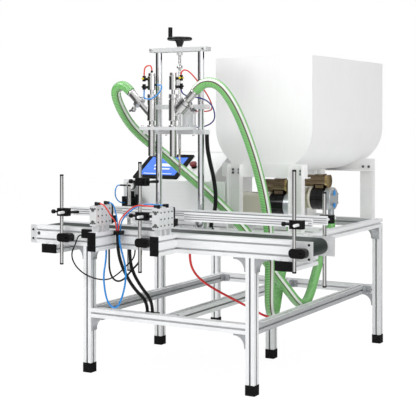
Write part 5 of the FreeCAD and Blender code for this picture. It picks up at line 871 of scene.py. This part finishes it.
class CordMaker:
    """Makes every cord as a smooth line, with a ribbed skin where it has one.

    Attributes:
        shop: Maker of materials.
        stripe: Way that the white stripe of a hose faces, a quarter of the way along it.
    """

    stripe = Vector((0.80, -0.60, 0.25))

    def __init__(self, shop: FinishShop) -> None:
        """Keeps the maker of materials."""
        self.shop = shop

    def line(self, name: str, points: Sequence[Triple]) -> bpy.types.Curve:
        """Makes the smooth line that follows a route's control points.

        Args:
            name: Name of the curve.
            points: Control points in machine millimetres.

        Returns:
            The curve.
        """
        curve = bpy.data.curves.new(name, "CURVE")
        curve.dimensions = "3D"
        spline = curve.splines.new("NURBS")
        spline.points.add(len(points) - 1)
        for index, point in enumerate(points):
            spline.points[index].co = (*place(*point), 1.0)
        spline.order_u = 3
        spline.use_endpoint_u = True
        spline.resolution_u = curve.resolution_u = 12
        return curve

    def walk(self, points: Sequence[Triple], step: float) -> list[Vector]:
        """Reads evenly spaced points from the smooth line.

        Args:
            points: Control points in machine millimetres.
            step: Spacing in metres.

        Returns:
            Points along the line in metres.
        """
        data = bake(put("route", self.line("route", points)))
        raw = [vert.co.copy() for vert in data.vertices]
        bpy.data.meshes.remove(data)
        spread = [raw[0]]
        carried = 0.0
        for before, after in zip(raw, raw[1:]):
            gap = (after - before).length
            while carried + gap >= step:
                before = before.lerp(after, (step - carried) / gap)
                gap = (after - before).length
                spread.append(before.copy())
                carried = 0.0
            carried += gap
        if (spread[-1] - raw[-1]).length > step * 0.3:
            spread.append(raw[-1])
        else:
            spread[-1] = raw[-1]
        return spread

    def frames(self, path: Sequence[Vector]) -> list[tuple[Vector, Vector]]:
        """Carries a side direction along a route without a twist.

        Args:
            path: Points of the route.

        Returns:
            The direction ahead and the side direction at each point.
        """
        side = (path[1] - path[0]).normalized().orthogonal().normalized()
        carried = []
        for before, after in zip([path[0], *path], [*path[1:], path[-1]]):
            ahead = (after - before).normalized()
            side = (side - ahead * side.dot(ahead)).normalized()
            carried.append((ahead, side))
        return carried

    def ribbed(self, plan: CordPlan) -> tuple[bpy.types.Object, list[Vector]]:
        """Sweeps a ribbed skin along a route.

        Args:
            plan: The cord.

        Returns:
            The tube and the points that it follows.
        """
        pitch, sides, depth, sharpness = plan.skin.value
        pitch, depth = pitch * MM, depth * MM
        path = self.walk(plan.points, pitch / 5)
        mesh = bmesh.new()
        crest = mesh.verts.layers.float.new("crest")
        around = mesh.verts.layers.float_vector.new("around")
        frames = self.frames(path)
        ahead, side = frames[len(path) // 4]
        start = math.atan2(self.stripe.dot(ahead.cross(side)), self.stripe.dot(side))
        rings = []
        travelled = 0.0
        for index, (spot, (ahead, side)) in enumerate(zip(path, frames)):
            other = ahead.cross(side)
            travelled += (spot - path[max(index - 1, 0)]).length
            ring = []
            for step in range(sides):
                angle = math.tau * step / sides
                phase = math.tau * travelled / pitch
                if plan.skin is Skin.SPIRAL:
                    phase -= angle
                rise = max(0.0, math.cos(phase)) ** sharpness
                turn = side * math.cos(angle) + other * math.sin(angle)
                vert = mesh.verts.new(spot + turn * (plan.radius * MM - depth * (1.0 - rise)))
                vert[crest] = rise
                vert[around] = Vector((math.cos(angle - start), math.sin(angle - start), 0.0))
                ring.append(vert)
            rings.append(ring)
        loft(mesh, rings)
        return settle(plan.name, mesh), path

    def make(self, plan: CordPlan) -> None:
        """Args:
            plan: The cord.
        """
        path: Optional[list[Vector]] = None
        if plan.skin is Skin.SMOOTH:
            curve = self.line(plan.name, plan.points)
            curve.bevel_depth = plan.radius * MM
            curve.bevel_resolution = 4
            curve.use_fill_caps = True
            piece = put(plan.name, curve)
            measured = self.walk(plan.points, 0.004)
        else:
            piece, path = self.ribbed(plan)
            measured = path
        finish = plan.finish
        piece.data.materials.append(self.shop.material(finish) if finish else self.shop.hose())
        if plan.moves_above:
            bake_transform(piece)
        else:
            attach(piece, plan.body.value)
        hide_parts(plan.node)


# ------------------------------------------------------------------------ CAD dressing


@dataclass
class NodeDresser:
    """Gives each carried-over CAD node its finishes.

    Attributes:
        shop: Maker of materials.
        nodes: The CAD nodes by name.
        skin: Depth under a profile's outside where its slots begin.
        grooves_at: Heights of the grooves along the guide bars.
        groove: Half the width of a groove.
        groove_depth: Depths behind a bar's front between which its grooves lie.
        stop_head: Y behind which a stop slide is its black head.
        ferrule: X past which a valve block is its brass ferrule.
        bolt: Diagonal under which a solid of the hopper's supports is a bolt.
        columns_reach: Height that only the chromed columns of the gantry pass.
        stops_black: Height over which the pieces of the stop bodies are black.
        drives_reach: Height that only the cream drives of the pumps pass.
        flange: Length under which a solid of the pump barrels is a cream flange.
        rod: Greatest width and least depth of a bright rod among the clamps.
        bar: Width or depth past which a solid among the clamps is a bright bar.
    """

    shop: FinishShop
    nodes: dict[str, bpy.types.Object]
    skin: float = 1.5
    grooves_at: Triple = (693.0, 702.0, 711.0)
    groove: float = 2.2
    groove_depth: tuple[float, float] = (0.5, 3.2)
    stop_head: float = -19.5
    ferrule: float = 308.0
    bolt: float = 30.0
    columns_reach: float = 1000.0
    stops_black: float = 740.0
    drives_reach: float = 700.0
    flange: float = 20.0
    rod: tuple[float, float] = (14.0, 30.0)
    bar: tuple[float, float] = (150.0, 60.0)

    def paint(self, data: bpy.types.Mesh, chosen: Sequence[Finish],
              first: Iterable[Finish] = ()) -> None:
        """Gives each face of a mesh its finish.

        Args:
            data: The mesh.
            chosen: The finish of each face.
            first: Finishes that take the first slots, in this order.
        """
        order = list(dict.fromkeys([*first, *chosen]))
        data.materials.clear()
        for finish in order:
            data.materials.append(self.shop.material(finish))
        for face, finish in zip(data.polygons, chosen):
            face.material_index = order.index(finish)

    def plain(self, finish: Finish, *names: str) -> None:
        """Gives whole nodes one finish.

        Args:
            finish: The finish.
            names: The CAD nodes.
        """
        for name in names:
            data = self.nodes[name].data
            self.paint(data, [finish] * len(data.polygons))

    def solids(self, data: bpy.types.Mesh) -> list[int]:
        """Finds the loose solids of a mesh; vertices at one place count as one.

        Args:
            data: The mesh.

        Returns:
            A number for each vertex, the same for all of one solid.
        """
        keys: dict[tuple[int, ...], int] = {}
        owner = [keys.setdefault(tuple(round(c * 1e5) for c in vert.co), len(keys))
                 for vert in data.vertices]
        parent = list(range(len(keys)))

        def root(item: int) -> int:
            """Follows a group to its first member.

            Args:
                item: Number of a place.

            Returns:
                Number of the first place of its group.
            """
            while parent[item] != item:
                parent[item] = parent[parent[item]]
                item = parent[item]
            return item

        for face in data.polygons:
            first = root(owner[face.vertices[0]])
            for vertex in face.vertices[1:]:
                parent[root(owner[vertex])] = first
        return [root(item) for item in owner]

    def by_piece(self, name: str, choose: Callable[[Vector, Vector], Finish],
                 slots: Optional[Finish] = None) -> None:
        """Gives each loose solid of a node a finish of its own.

        Args:
            name: The CAD node.
            choose: Picks a finish from a solid's lowest and highest corner in machine
                millimetres.
            slots: Painted shade for the faces inside the slots of a profile, if it has any.
        """
        data = self.nodes[name].data
        owner = self.solids(data)
        corners: dict[int, tuple[Vector, Vector]] = {}
        for group, vert in zip(owner, data.vertices):
            spot = machine(vert.co)
            low, high = corners.setdefault(group, (spot.copy(), spot.copy()))
            for axis in range(3):
                low[axis] = min(low[axis], spot[axis])
                high[axis] = max(high[axis], spot[axis])
        finishes = {group: choose(*ends) for group, ends in corners.items()}
        chosen = []
        for face in data.polygons:
            group = owner[face.vertices[0]]
            # Faces inside a slot take the painted slot shade.
            inner = slots and self.in_slot(face, *corners[group])
            chosen.append(slots if inner else finishes[group])
        self.paint(data, chosen, finishes.values())

    def in_slot(self, face: bpy.types.MeshPolygon, low: Vector, high: Vector) -> bool:
        """Tells whether a face lies under a profile's skin, and not on its ends.

        Args:
            face: The face.
            low: Lowest corner of the profile in machine millimetres.
            high: Its highest corner.

        Returns:
            True for a face inside a slot.
        """
        size = high - low
        run = max(range(3), key=lambda axis: size[axis])
        # A Vector would round these, and some faces lie exactly at the skin's depth.
        middle = face.center
        spot = (middle.x / MM, middle.y / MM + DEPTH_MIDDLE, middle.z / MM)
        return abs(face.normal[run]) <= 0.5 and all(
            low[axis] + self.skin < spot[axis] < high[axis] - self.skin
            for axis in range(3) if axis != run)

    def by_face(self, name: str, choose: Callable[[Vector], Finish]) -> None:
        """Gives each face of a node a finish by its middle in machine millimetres."""
        data = self.nodes[name].data
        self.paint(data, [choose(machine(face.center)) for face in data.polygons])

    def grooves(self, name: str, front: float) -> None:
        """Paints shade into the three grooves along a guide bar.

        Args:
            name: The CAD node of the bar.
            front: Y of the bar's operator side in machine millimetres.
        """
        data = self.nodes[name].data
        # Painted shade for the faces inside the grooves.
        data.materials.append(self.shop.material(DARK_SLOT_SHADE))
        least, most = self.groove_depth
        for face in data.polygons:
            spot = machine(face.center)
            near = any(abs(spot.z - height) < self.groove for height in self.grooves_at)
            if near and least < spot.y - front < most and abs(face.normal.x) < 0.5:
                face.material_index = len(data.materials) - 1

    def dress(self) -> None:
        """Dresses every CAD node that stays in view."""
        # Faces inside the slots of the frame profiles get a painted shade.
        for name in ("frame_legs", "lower_rails", "upper_rails"):
            self.by_piece(name, lambda low, high: PROFILE, DARK_SLOT_SHADE)
        # Faces inside the slots of the conveyor rails and cross beams get a paler painted shade.
        for name in ("conveyor_rails", "cross_beams"):
            self.by_piece(name, lambda low, high: PROFILE_X, PALE_SLOT_SHADE)
        self.plain(PROFILE_X, "rear_guide_rail")
        self.plain(BLACK, "end_caps", "bottle_sensor", "speed_fittings", "crank_grip",
                   "air_knob", "tube_entries", "air_unit")
        self.plain(CAST_METAL, "corner_brackets")
        self.plain(MILLED, "end_plates", "belt_bed", "top_plate", "carriage_bars",
                   "nozzle_plate", "dive_cylinder")
        self.plain(STEEL, "drive_drum", "idler_drum", "lead_screw", "filling_valves",
                   "inlet_branches", "valve_actuators", "nozzle_tubes", "guide_posts")
        self.plain(BELT, "belt")
        self.plain(BLACK_GLOSS, "handwheel")
        self.plain(SHEET, "hopper")
        self.plain(SHEET_X, "cabinet")
        self.plain(RED, "stop_button")
        self.plain(GREY, "pump_caps")
        self.plain(BEZEL, "hmi_panel")
        for name in ("stop_slide_1", "stop_slide_2"):
            self.by_face(name, lambda spot: BLACK if spot.y > self.stop_head else STEEL)
        self.by_face("valve_blocks",
                     lambda spot: BRASS if spot.x > self.ferrule else BRONZE)
        self.by_piece("hopper_supports", lambda low, high: (
            DARK_STEEL if (high - low).length < self.bolt else LEG_SHEET))
        self.by_piece("gantry_columns", lambda low, high: (
            CHROME if high.z > self.columns_reach else MILLED))
        self.by_piece("stop_bodies", lambda low, high: (
            BLACK if low.z > self.stops_black else MILLED))
        self.by_piece("pump_drives", lambda low, high: (
            CREAM if high.z > self.drives_reach else MILLED))
        self.by_piece("pump_barrels", lambda low, high: (
            CREAM if high.x - low.x < self.flange else BLACK_GLOSS))
        for name in ("rail_clamps", "front_guide"):
            self.by_piece(name, self.clamp_finish)
        self.grooves("front_guide", front=42.0)
        self.grooves("rear_guide_rail", front=171.0)

    def clamp_finish(self, low: Vector, high: Vector) -> Finish:
        """Picks bright bars and rods, and black clamps.

        Args:
            low: Lowest corner of a solid in machine millimetres.
            high: Its highest corner.

        Returns:
            The solid's finish.
        """
        wide, deep = high.x - low.x, high.y - low.y
        if wide < self.rod[0] and deep > self.rod[1]:
            return STEEL
        return PROFILE_X if wide > self.bar[0] or deep > self.bar[1] else BLACK


# ------------------------------------------------------------------- sub-assemblies


@dataclass
class Fittings:
    """Small parts of one sub-assembly.

    Attributes:
        shop: Maker of materials.
        kit: Maker of screw heads.
    """

    shop: FinishShop
    kit: ScrewKit


@dataclass
class FrameFittings(Fittings):
    """Screws and end details of the profile frame and the conveyor.

    Attributes:
        width: Depth of the conveyor.
        stops: X of both bottle stops.
        posts: X, Y, foot and top of each guide post.
    """

    width: float = 227.0
    stops: tuple[float, float] = (-253.0, 61.0)
    posts: tuple[tuple[float, float, float, float], ...] = (
        (-503.0, -24.0, 470.0, 867.0), (-88.0, -24.0, 462.0, 931.0),
        (632.0, -24.0, 512.0, 914.0), (640.0, 251.0, 420.0, 812.0),
        (-330.0, 251.0, 420.0, 812.0),
    )

    def plate_screws(self) -> None:
        """Puts four screws on each bearing plate and two at each idler journal."""
        places = [(x, z) for x in (619.0, 685.0) for z in (566.0, 622.0)]
        places += [(-681.0, 574.0), (-681.0, 614.0)]
        spots = []
        for x, z in places:
            spots += [((x, 0.0, z), FRONT), ((x, self.width, z), BACK)]
        self.kit.fit("plate_screws", spots, 5.0, 3.5, BLACK)

    def base_screws(self) -> None:
        """Puts screws through the gantry base and the top plate."""
        spots = [((x, y, 637.0), UP) for x in (-200.0, -140.0, -59.0, 22.0, 82.0)
                 for y in (240.0, 264.0)]
        self.kit.fit("gantry_screws", spots, 4.5, 4.0, STEEL)
        split = [((x, 225.0, 1421.0), FRONT) for x in (-194.0, 76.0)]
        self.kit.fit("yoke_screws", split, 5.0, 4.0, STEEL)

    def cap_screws(self) -> None:
        """Puts two screws on each moulded end cap that faces the operator."""
        spots = [((x, -147.0, z), FRONT) for x in self.stops for z in (574.0, 614.0)]
        spots += [((x, -17.0, 534.0), FRONT) for x in (-601.0, -561.0, 563.0, 603.0)]
        self.kit.fit("cap_screws", spots, 3.5, 1.6, BLACK_GLOSS)

    def stop_screws(self) -> None:
        """Puts the screws of the two bottle stops."""
        spots = []
        for x in self.stops:
            spots += [((x + 17.0, y, z), RIGHT) for z in (676.0, 703.0, 730.0)
                      for y in (-120.0, -92.0, -62.0, -36.0)]
            spots += [((x + side, -134.0, z), FRONT) for z in (672.0, 734.0)
                      for side in (-11.0, 11.0)]
        self.kit.fit("stop_screws", spots, 3.4, 1.4, BLACK)

    def post_plugs(self) -> None:
        """Closes both ends of each guide post with a black plug."""
        work = Sculptor(self.shop)
        for x, y, low, high in self.posts:
            for end, way in ((low, DOWN), (high, UP)):
                work.turned((x, y, end - way[2] * 6.0), way,
                            [(8.1, 0.0), (8.5, 0.4), (8.5, 6.0), (7.2, 7.0)], BLACK, 24)
        work.finish("post_plugs", Body.FRAME)

    def make(self) -> None:
        """Makes every small part of the frame."""
        self.post_plugs()
        self.plate_screws()
        self.base_screws()
        self.cap_screws()
        self.stop_screws()


@dataclass
class HeadFittings(Fittings):
    """Details that ride with the filling head.

    Attributes:
        valves: X of both filling valves and the side that each one's inlet leans to.
        row: Y of the valves.
        branch: Height where the slanted inlets leave the valves.
    """

    valves: tuple[tuple[float, float], ...] = ((-116.0, -1.0), (-6.0, 1.0))
    row: float = 112.0
    branch: float = 1122.0

    def inlets(self) -> Iterable[tuple[Vector, Vector, Vector]]:
        """Follows the slanted inlets of both valves.

        Yields:
            The foot of each one, the way it leads and the way across it.
        """
        lean = math.sqrt(0.5)
        for x, side in self.valves:
            yield (Vector((x, self.row, self.branch)), Vector((side * lean, 0.0, lean)),
                   Vector((side * lean, 0.0, -lean)))

    def speed_knobs(self) -> None:
        """Puts thumb screws on the speed fittings, yellow above and black below."""
        work = Sculptor(self.shop)
        for valve, side in self.valves:
            x = valve + side * 40.0
            for z, finish in ((1290.0, YELLOW), (1254.0, BLACK)):
                work.turned((x, self.row - 7.0, z), FRONT,
                            [(4.6, 0.0), (4.6, 5.0), (3.8, 6.0), (3.8, 9.0), (3.0, 10.0)],
                            finish, 20)
                work.turned((x + side * 7.0, self.row, z), (side, 0.0, 0.0),
                            [(3.6, 0.0), (3.6, 4.0), (2.6, 5.0)], finish, 18)
        work.finish("speed_knobs", Body.HEAD)

    def wing_nuts(self) -> None:
        """Puts a two armed wing nut on each inlet clamp."""
        work = Sculptor(self.shop)
        for foot, axis, across in self.inlets():
            seat = foot + axis * 92.0 + across * 46.0
            work.turned(seat, across, [(7.0, -4.0), (7.0, 6.0), (5.0, 9.0)], DARK_STEEL, 20)
            for arm in (Vector(FRONT), Vector(BACK)):
                work.turned(seat + arm * 5.0, arm + across * 0.6,
                            [(3.4, 0.0), (4.4, 6.0), (5.2, 14.0), (3.6, 18.0)], DARK_STEEL, 14)
        work.finish("wing_nuts", Body.HEAD)

    def plate_screws(self) -> None:
        """Puts screws on the nozzle plate and below the lower bar."""
        spots = [((x, y, 1079.0), UP) for x in (-146.0, -61.0, 26.0) for y in (84.0, 196.0)]
        spots += [((x, 252.0, 1046.0), DOWN) for x in (-216.0, -130.0, 12.0)]
        self.kit.fit("head_screws", spots, 5.0, 5.0, STEEL, Body.HEAD)

    def hose_bands(self) -> None:
        """Puts a band round each hose end at the filling valves."""
        work = Sculptor(self.shop)
        for foot, axis, _ in self.inlets():
            work.turned(foot + axis * 146.0, axis,
                        [(17.2, -0.1), (19.0, 0.0), (19.0, 8.0), (17.2, 8.1)], STEEL, 36)
        work.finish("hose_bands", Body.HEAD)

    def make(self) -> None:
        """Makes every detail of the head."""
        self.speed_knobs()
        self.wing_nuts()
        self.plate_screws()
        self.hose_bands()


@dataclass
class ScrewThread:
    """The lifting screw with its real thread.

    Attributes:
        shop: Maker of materials.
        x: Screw axis.
        y: Screw axis.
        low: Lower end of the thread.
        high: Its upper end.
        pitch: Lead of the thread.
        crest: Thread crest radius.
        root: Thread root radius.
    """

    shop: FinishShop
    x: float = -59.0
    y: float = 252.0
    low: float = 980.0
    high: float = 1398.0
    pitch: float = 5.0
    crest: float = 7.0
    root: float = 5.6

    def radius(self, phase: float) -> float:
        """Gives the thread's radius at a share of one turn, with its crest at a half."""
        ridge = min(1.0, max(0.0, 1.6 - abs(phase - 0.5) * 5.0))
        return self.root + (self.crest - self.root) * ridge

    def make(self) -> None:
        """Sweeps the thread, and adds its plain ends and its collar."""
        work = Sculptor(self.shop)
        sides = 20
        step = self.pitch / 5
        rings = []
        for index in range(int((self.high - self.low) / step) + 1):
            radii = [self.radius((step * index / self.pitch - side / sides) % 1.0)
                     for side in range(sides)]
            centre = Vector((self.x, self.y, self.low + step * index))
            rings.append(work.ring(centre, Vector(RIGHT), Vector(BACK), radii))
        loft(work.mesh, rings, work.slot(STEEL))
        for foot, outline, finish, steps in (
                (872.0, [(4.0, 0.0), (5.0, 1.0), (5.0, 109.0)], ROD_STEEL, 24),
                (1338.0, [(10.0, 0.0), (13.0, 3.0), (13.0, 11.0), (10.0, 14.0)], STEEL, 32),
                (1397.0, [(7.0, 0.0), (7.0, 77.0)], STEEL, 24)):
            work.turned((self.x, self.y, foot), UP, outline, finish, steps)
        piece = work.finish("lifting_screw", Body.WHEEL)
        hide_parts("lead_screw")


@dataclass
class CabinetFittings(Fittings):
    """Touch screen, gauge, knob and screws of the control cabinet.

    Attributes:
        front: Y of the cabinet's front.
        shoulder: Height where its slope starts.
        slope: Angle of the slope.
        left: Left end of the panel.
        start: Distance of the panel up the slope.
        width: Width of the panel.
        height: Its height along the slope.
        thick: Its thickness.
        bezel: Width of the rim round the screen.
    """

    front: float = 402.0
    shoulder: float = 828.0
    slope: float = math.atan2(123.0, 196.0)
    left: float = -417.0
    start: float = 10.0
    width: float = 246.0
    height: float = 196.0
    thick: float = 7.0
    bezel: float = 24.0

    def on_slope(self, x: float, up: float, out: float) -> Triple:
        """Gives a point on the sloping face.

        Args:
            x: Distance along the conveyor.
            up: Distance up the slope.
            out: Distance off the slope.

        Returns:
            The point in machine millimetres.
        """
        return (x, self.front + up * math.cos(self.slope) - out * math.sin(self.slope),
                self.shoulder + up * math.sin(self.slope) + out * math.cos(self.slope))

    def inset(self, edge: float) -> tuple[float, float, float, float]:
        """Gives the panel's left, right, low and high side, each moved in by edge."""
        return (self.left + edge, self.left + self.width - edge,
                self.start + edge, self.start + self.height - edge)

    def screen(self) -> None:
        """Makes the lit screen in its bezel."""
        left, right, low, high = self.inset(self.bezel)
        mesh = bmesh.new()
        grid = 12
        uv = mesh.loops.layers.uv.new("UVMap")
        rows = []
        for row in range(grid + 1):
            line = []
            for column in range(grid + 1):
                x = left + (right - left) * column / grid
                up = low + (high - low) * row / grid
                line.append((mesh.verts.new(place(*self.on_slope(x, up, 5.7))),
                             (column / grid, row / grid)))
            rows.append(line)
        for lower, upper in zip(rows, rows[1:]):
            for column in range(grid):
                cells = (lower[column], lower[column + 1], upper[column + 1], upper[column])
                face = mesh.faces.new([vert for vert, spot in cells])
                for loop, (vert, spot) in zip(face.loops, cells):
                    loop[uv].uv = spot
        piece = settle("touch_screen", mesh)
        piece.data.materials.append(self.shop.screen())
        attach(piece, Body.FRAME.value)
        LOG.info("piece %s on %s", piece.name, Body.FRAME.value)

    def marks(self) -> None:
        """Makes the plain bars on the screen."""
        work = Sculptor(self.shop)
        middle = self.left + self.width / 2
        turn = Matrix.Translation(Vector(self.on_slope(middle, 0.0, 5.9)))
        turn = turn @ Matrix.Rotation(self.slope, 4, "X")
        for start, end, foot, top, finish in (
                (-52.0, 58.0, 104.0, 128.0, PALE_MARK), (-40.0, 46.0, 78.0, 90.0, ROSE_MARK),
                (-78.0, 78.0, 42.0, 47.0, PALE_MARK)):
            work.box((start, foot, 0.0), (end, top, 0.5), finish, 0.2, turn)
        work.finish("screen_marks", Body.FRAME)

    def gauge_face(self) -> None:
        """Makes the gauge dial with its ticks, needle and ring."""
        work = Sculptor(self.shop)
        centre = (-402.0, 368.0, 800.0)

        def turn(degrees: float) -> Matrix:
            """Turns round the gauge's middle."""
            return (Matrix.Translation(Vector(centre))
                    @ Matrix.Rotation(-math.radians(degrees), 4, "Y"))

        work.turned(centre, FRONT, [(19.6, -1.0), (20.6, 0.0), (20.6, 2.6), (18.6, 3.0),
                                    (18.0, 1.4), (17.6, 1.2)], STEEL, 40)
        work.turned(centre, FRONT, [(17.8, 0.0), (17.8, 1.3)], DIAL, 40)
        for tick in range(11):
            work.box((12.5, -1.9, -0.4), (16.4, -1.2, 0.4), BLACK, 0.0, turn(225 - 27 * tick))
        work.box((-4.0, -2.4, -0.6), (13.0, -1.9, 0.6), RED, 0.0, turn(140))
        work.turned(centre, FRONT, [(2.2, 1.0), (2.2, 3.0), (1.4, 3.4)], BLACK, 16)
        work.finish("gauge_face", Body.FRAME)

    def knob_flutes(self) -> None:
        """Makes the regulator knob with its flutes and cap."""
        work = Sculptor(self.shop)
        flutes = 12
        rings = []
        for z, radius, depth in ((754.3, 16.6, 0.0), (757.0, 17.8, 1.3), (770.0, 17.8, 1.3),
                                 (773.0, 16.8, 0.0), (774.3, 14.0, 0.0)):
            reaches = [radius - depth, radius - depth, radius, radius] * flutes
            rings.append(work.ring(Vector((-402.0, 372.0, z)), Vector(RIGHT), Vector(BACK),
                                   reaches))
        loft(work.mesh, rings, work.slot(BLACK), smooth=False)
        piece = work.finish("regulator_knob", Body.KNOB)
        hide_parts("air_knob")

    def make(self) -> None:
        """Makes every detail of the cabinet."""
        self.screen()
        self.marks()
        self.gauge_face()
        self.knob_flutes()
        left, right, low, high = self.inset(9.0)
        aim = (0.0, -math.sin(self.slope), math.cos(self.slope))
        spots = [(self.on_slope(x, up, self.thick), aim) for up in (low, high)
                 for x in (left, right)]
        self.kit.fit("panel_screws", spots, 3.0, 1.2, BLACK)


@dataclass
class PumpFittings(Fittings):
    """Port plugs and end screws of the two pumps.

    Attributes:
        rows: Y of both pumps.
        axis: Height of the pump axes.
    """

    rows: tuple[float, float] = (590.0, 1045.0)
    axis: float = 722.0

    def plugs(self) -> None:
        """Puts blue plugs on the pump ends."""
        work = Sculptor(self.shop)
        for y in self.rows:
            for z in (self.axis + 30.0, self.axis - 30.0):
                work.turned((353.0, y - 20.0, z), RIGHT,
                            [(10.0, 0.0), (12.4, 0.6), (12.4, 4.6), (11.0, 5.6), (6.4, 6.0)],
                            BLUE_CAP)
        work.finish("port_plugs", Body.FRAME)

    def end_screws(self) -> None:
        """Puts six screws round each pump end."""
        ring, count = 44.0, 6
        spots = []
        for y in self.rows:
            for step in range(count):
                angle = math.tau * (step + 0.5) / count
                spots.append(((346.0, y + ring * math.cos(angle),
                               self.axis + ring * math.sin(angle)), RIGHT))
        self.kit.fit("pump_screws", spots, 4.5, 3.5, STEEL)

    def make(self) -> None:
        """Makes every detail of the pumps."""
        self.plugs()
        self.end_screws()


class Studio:
    """Pale floor, white background, soft lamps and the photograph's camera.

    Attributes:
        stops: Brightness of the sides in reflections, from behind round to the front.
        facing: Direction that counts as the front.
    """

    stops = ((0.0, 0.10), (0.30, 0.02), (0.60, 0.03), (0.78, 0.16), (0.88, 0.60), (0.95, 1.0))
    facing = (0.497, -0.867, 0.0)

    def flags(self) -> bpy.types.NodeTree:
        """Builds the group that darkens the studio's sides in reflections.

        Returns:
            A group with a Direction input and a Brightness output.
        """
        graph, source = Graph.group("side_flags", "ShaderNodeTree", {"Direction": "Vector"},
                                    {"Brightness": "Color"})
        direction = source["Direction"]
        facing = graph.add("ShaderNodeVectorMath", {0: direction, 1: self.facing},
                           operation="DOT_PRODUCT").outputs["Value"]
        ramp = graph.add("ShaderNodeValToRGB", {
            "Fac": graph.calc("MULTIPLY_ADD", facing, 0.5, 0.5)})
        elements = ramp.color_ramp.elements
        for index, (spot, value) in enumerate(self.stops):
            stop = elements[index] if index < 2 else elements.new(spot)
            stop.position = spot
            stop.color = (value, value, value, 1.0)
        height = graph.add("ShaderNodeSeparateXYZ", {0: direction}).outputs["Z"]
        above = graph.spread(graph.calc("ABSOLUTE", height), 0.3, 0.65)
        lifted = graph.mix(above, ramp.outputs["Color"], WHITE)
        graph.add("NodeGroupOutput", {"Brightness": lifted})
        return graph.tree

    def floor(self, flags: bpy.types.NodeTree) -> None:
        """Makes the floor, white to the camera but still carrying a soft shadow.

        Args:
            flags: The group that darkens the sides in reflections.
        """
        data = bpy.data.meshes.new("studio_floor")
        size = 12.0
        data.from_pydata([(-size, -size, 0), (size, -size, 0), (size, size, 0),
                          (-size, size, 0)], [], [(0, 1, 2, 3)])
        material, graph, shader = Graph.material("pale_floor")
        graph.tree.nodes.remove(shader)
        rays = graph.add("ShaderNodeLightPath").outputs
        incoming = graph.add("ShaderNodeNewGeometry").outputs["Incoming"]
        away = graph.add("ShaderNodeVectorMath", {0: incoming, "Scale": -1.0},
                         operation="SCALE").outputs[0]
        sides = graph.nested(flags, {"Direction": away})
        tone = graph.mix(rays["Is Glossy Ray"], WHITE, sides["Brightness"])
        glow = graph.add("ShaderNodeEmission", {"Color": tone, "Strength": 1.04})
        matt = graph.add("ShaderNodeBsdfDiffuse", {"Color": (0.9, 0.9, 0.9, 1.0)})
        seen = graph.calc("MAXIMUM", rays["Is Camera Ray"], rays["Is Glossy Ray"])
        surface = graph.mix_shaders(graph.calc("MULTIPLY", seen, 0.9), matt.outputs[0],
                                    glow.outputs[0])
        graph.feed(graph.tree.nodes["Material Output"], {"Surface": surface})
        data.materials.append(material)
        floor = put("studio_floor", data)
        floor.location = (0.0, 0.0, -0.0006)

    def world(self, flags: bpy.types.NodeTree) -> None:
        """Makes the world white to the camera, with darker sides in reflections.

        Args:
            flags: The group that darkens the sides in reflections.
        """
        world = bpy.data.worlds.new("studio_world")
        bpy.context.scene.world = world
        world.use_nodes = True
        world.node_tree.nodes.clear()
        graph = Graph(world.node_tree)

        def glow(colour: Union[Socket, tuple], strength: float = 1.0) -> Socket:
            """Adds an even light."""
            return graph.add("ShaderNodeBackground",
                             {"Color": colour, "Strength": strength}).outputs[0]

        rays = graph.add("ShaderNodeLightPath").outputs
        where = graph.add("ShaderNodeTexCoord").outputs["Generated"]
        sides = graph.nested(flags, {"Direction": where})
        lit = graph.mix_shaders(rays["Is Glossy Ray"], glow((*WHITE, 1.0), 0.66),
                                glow(sides["Brightness"]))
        seen = graph.calc("MAXIMUM", rays["Is Camera Ray"], rays["Is Transmission Ray"])
        surface = graph.mix_shaders(seen, lit, glow((*WHITE, 1.0)))
        graph.add("ShaderNodeOutputWorld", {"Surface": surface})

    def lamp(self, name: str, spot: Triple, aim: Triple, size: float, power: float) -> None:
        """Makes one soft area lamp.

        Args:
            name: Name of the lamp.
            spot: Its place in metres.
            aim: The point it faces, in metres.
            size: Side of the lamp in metres.
            power: Its power in watts.
        """
        data = bpy.data.lights.new(name, "AREA")
        data.shape = "SQUARE"
        data.size = size
        data.energy = power
        lamp = put(name, data)
        lamp.location = spot
        lamp.rotation_euler = (Vector(aim) - Vector(spot)).to_track_quat("-Z", "Y").to_euler()

    def camera(self) -> None:
        """Sets the camera where the photograph was taken from."""
        data = bpy.data.cameras.new("photo_camera")
        data.sensor_fit = "HORIZONTAL"
        data.sensor_width = 36.0
        data.lens = 91.53
        data.shift_y = -0.213
        data.clip_end = 50.0
        camera = put("photo_camera", data)
        camera.location = place(2391.6, -3768.6, 1111.7)
        camera.rotation_euler = (math.radians(90.0), 0.0, math.radians(29.83))
        bpy.context.scene.camera = camera

    def make(self) -> None:
        """Sets up the whole studio."""
        flags = self.flags()
        self.floor(flags)
        self.world(flags)
        self.lamp("key_lamp", (-2.6, -3.4, 4.2), (0.0, 0.0, 0.8), 2.6, 140.0)
        self.lamp("fill_lamp", (4.2, -2.0, 2.6), (0.0, 0.0, 0.8), 2.8, 60.0)
        self.lamp("top_lamp", (0.4, 0.6, 5.0), (0.0, 0.0, 0.6), 3.0, 70.0)
        self.camera()
        bpy.context.scene.view_settings.view_transform = "Standard"


def main() -> None:
    """Builds the looks of the whole machine."""
    logging.basicConfig(level=logging.INFO, format="%(message)s")
    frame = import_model()
    shop = FinishShop()
    Studio().make()
    maker = CordMaker(shop)
    for plan in cord_plans():
        maker.make(plan)
    NodeDresser(shop, frame["nodes"]).dress()
    kit = ScrewKit(shop)
    FrameFittings(shop, kit).make()
    HeadFittings(shop, kit).make()
    ScrewThread(shop).make()
    CabinetFittings(shop, kit).make()
    PumpFittings(shop, kit).make()


if __name__ == "__main__":
    main()
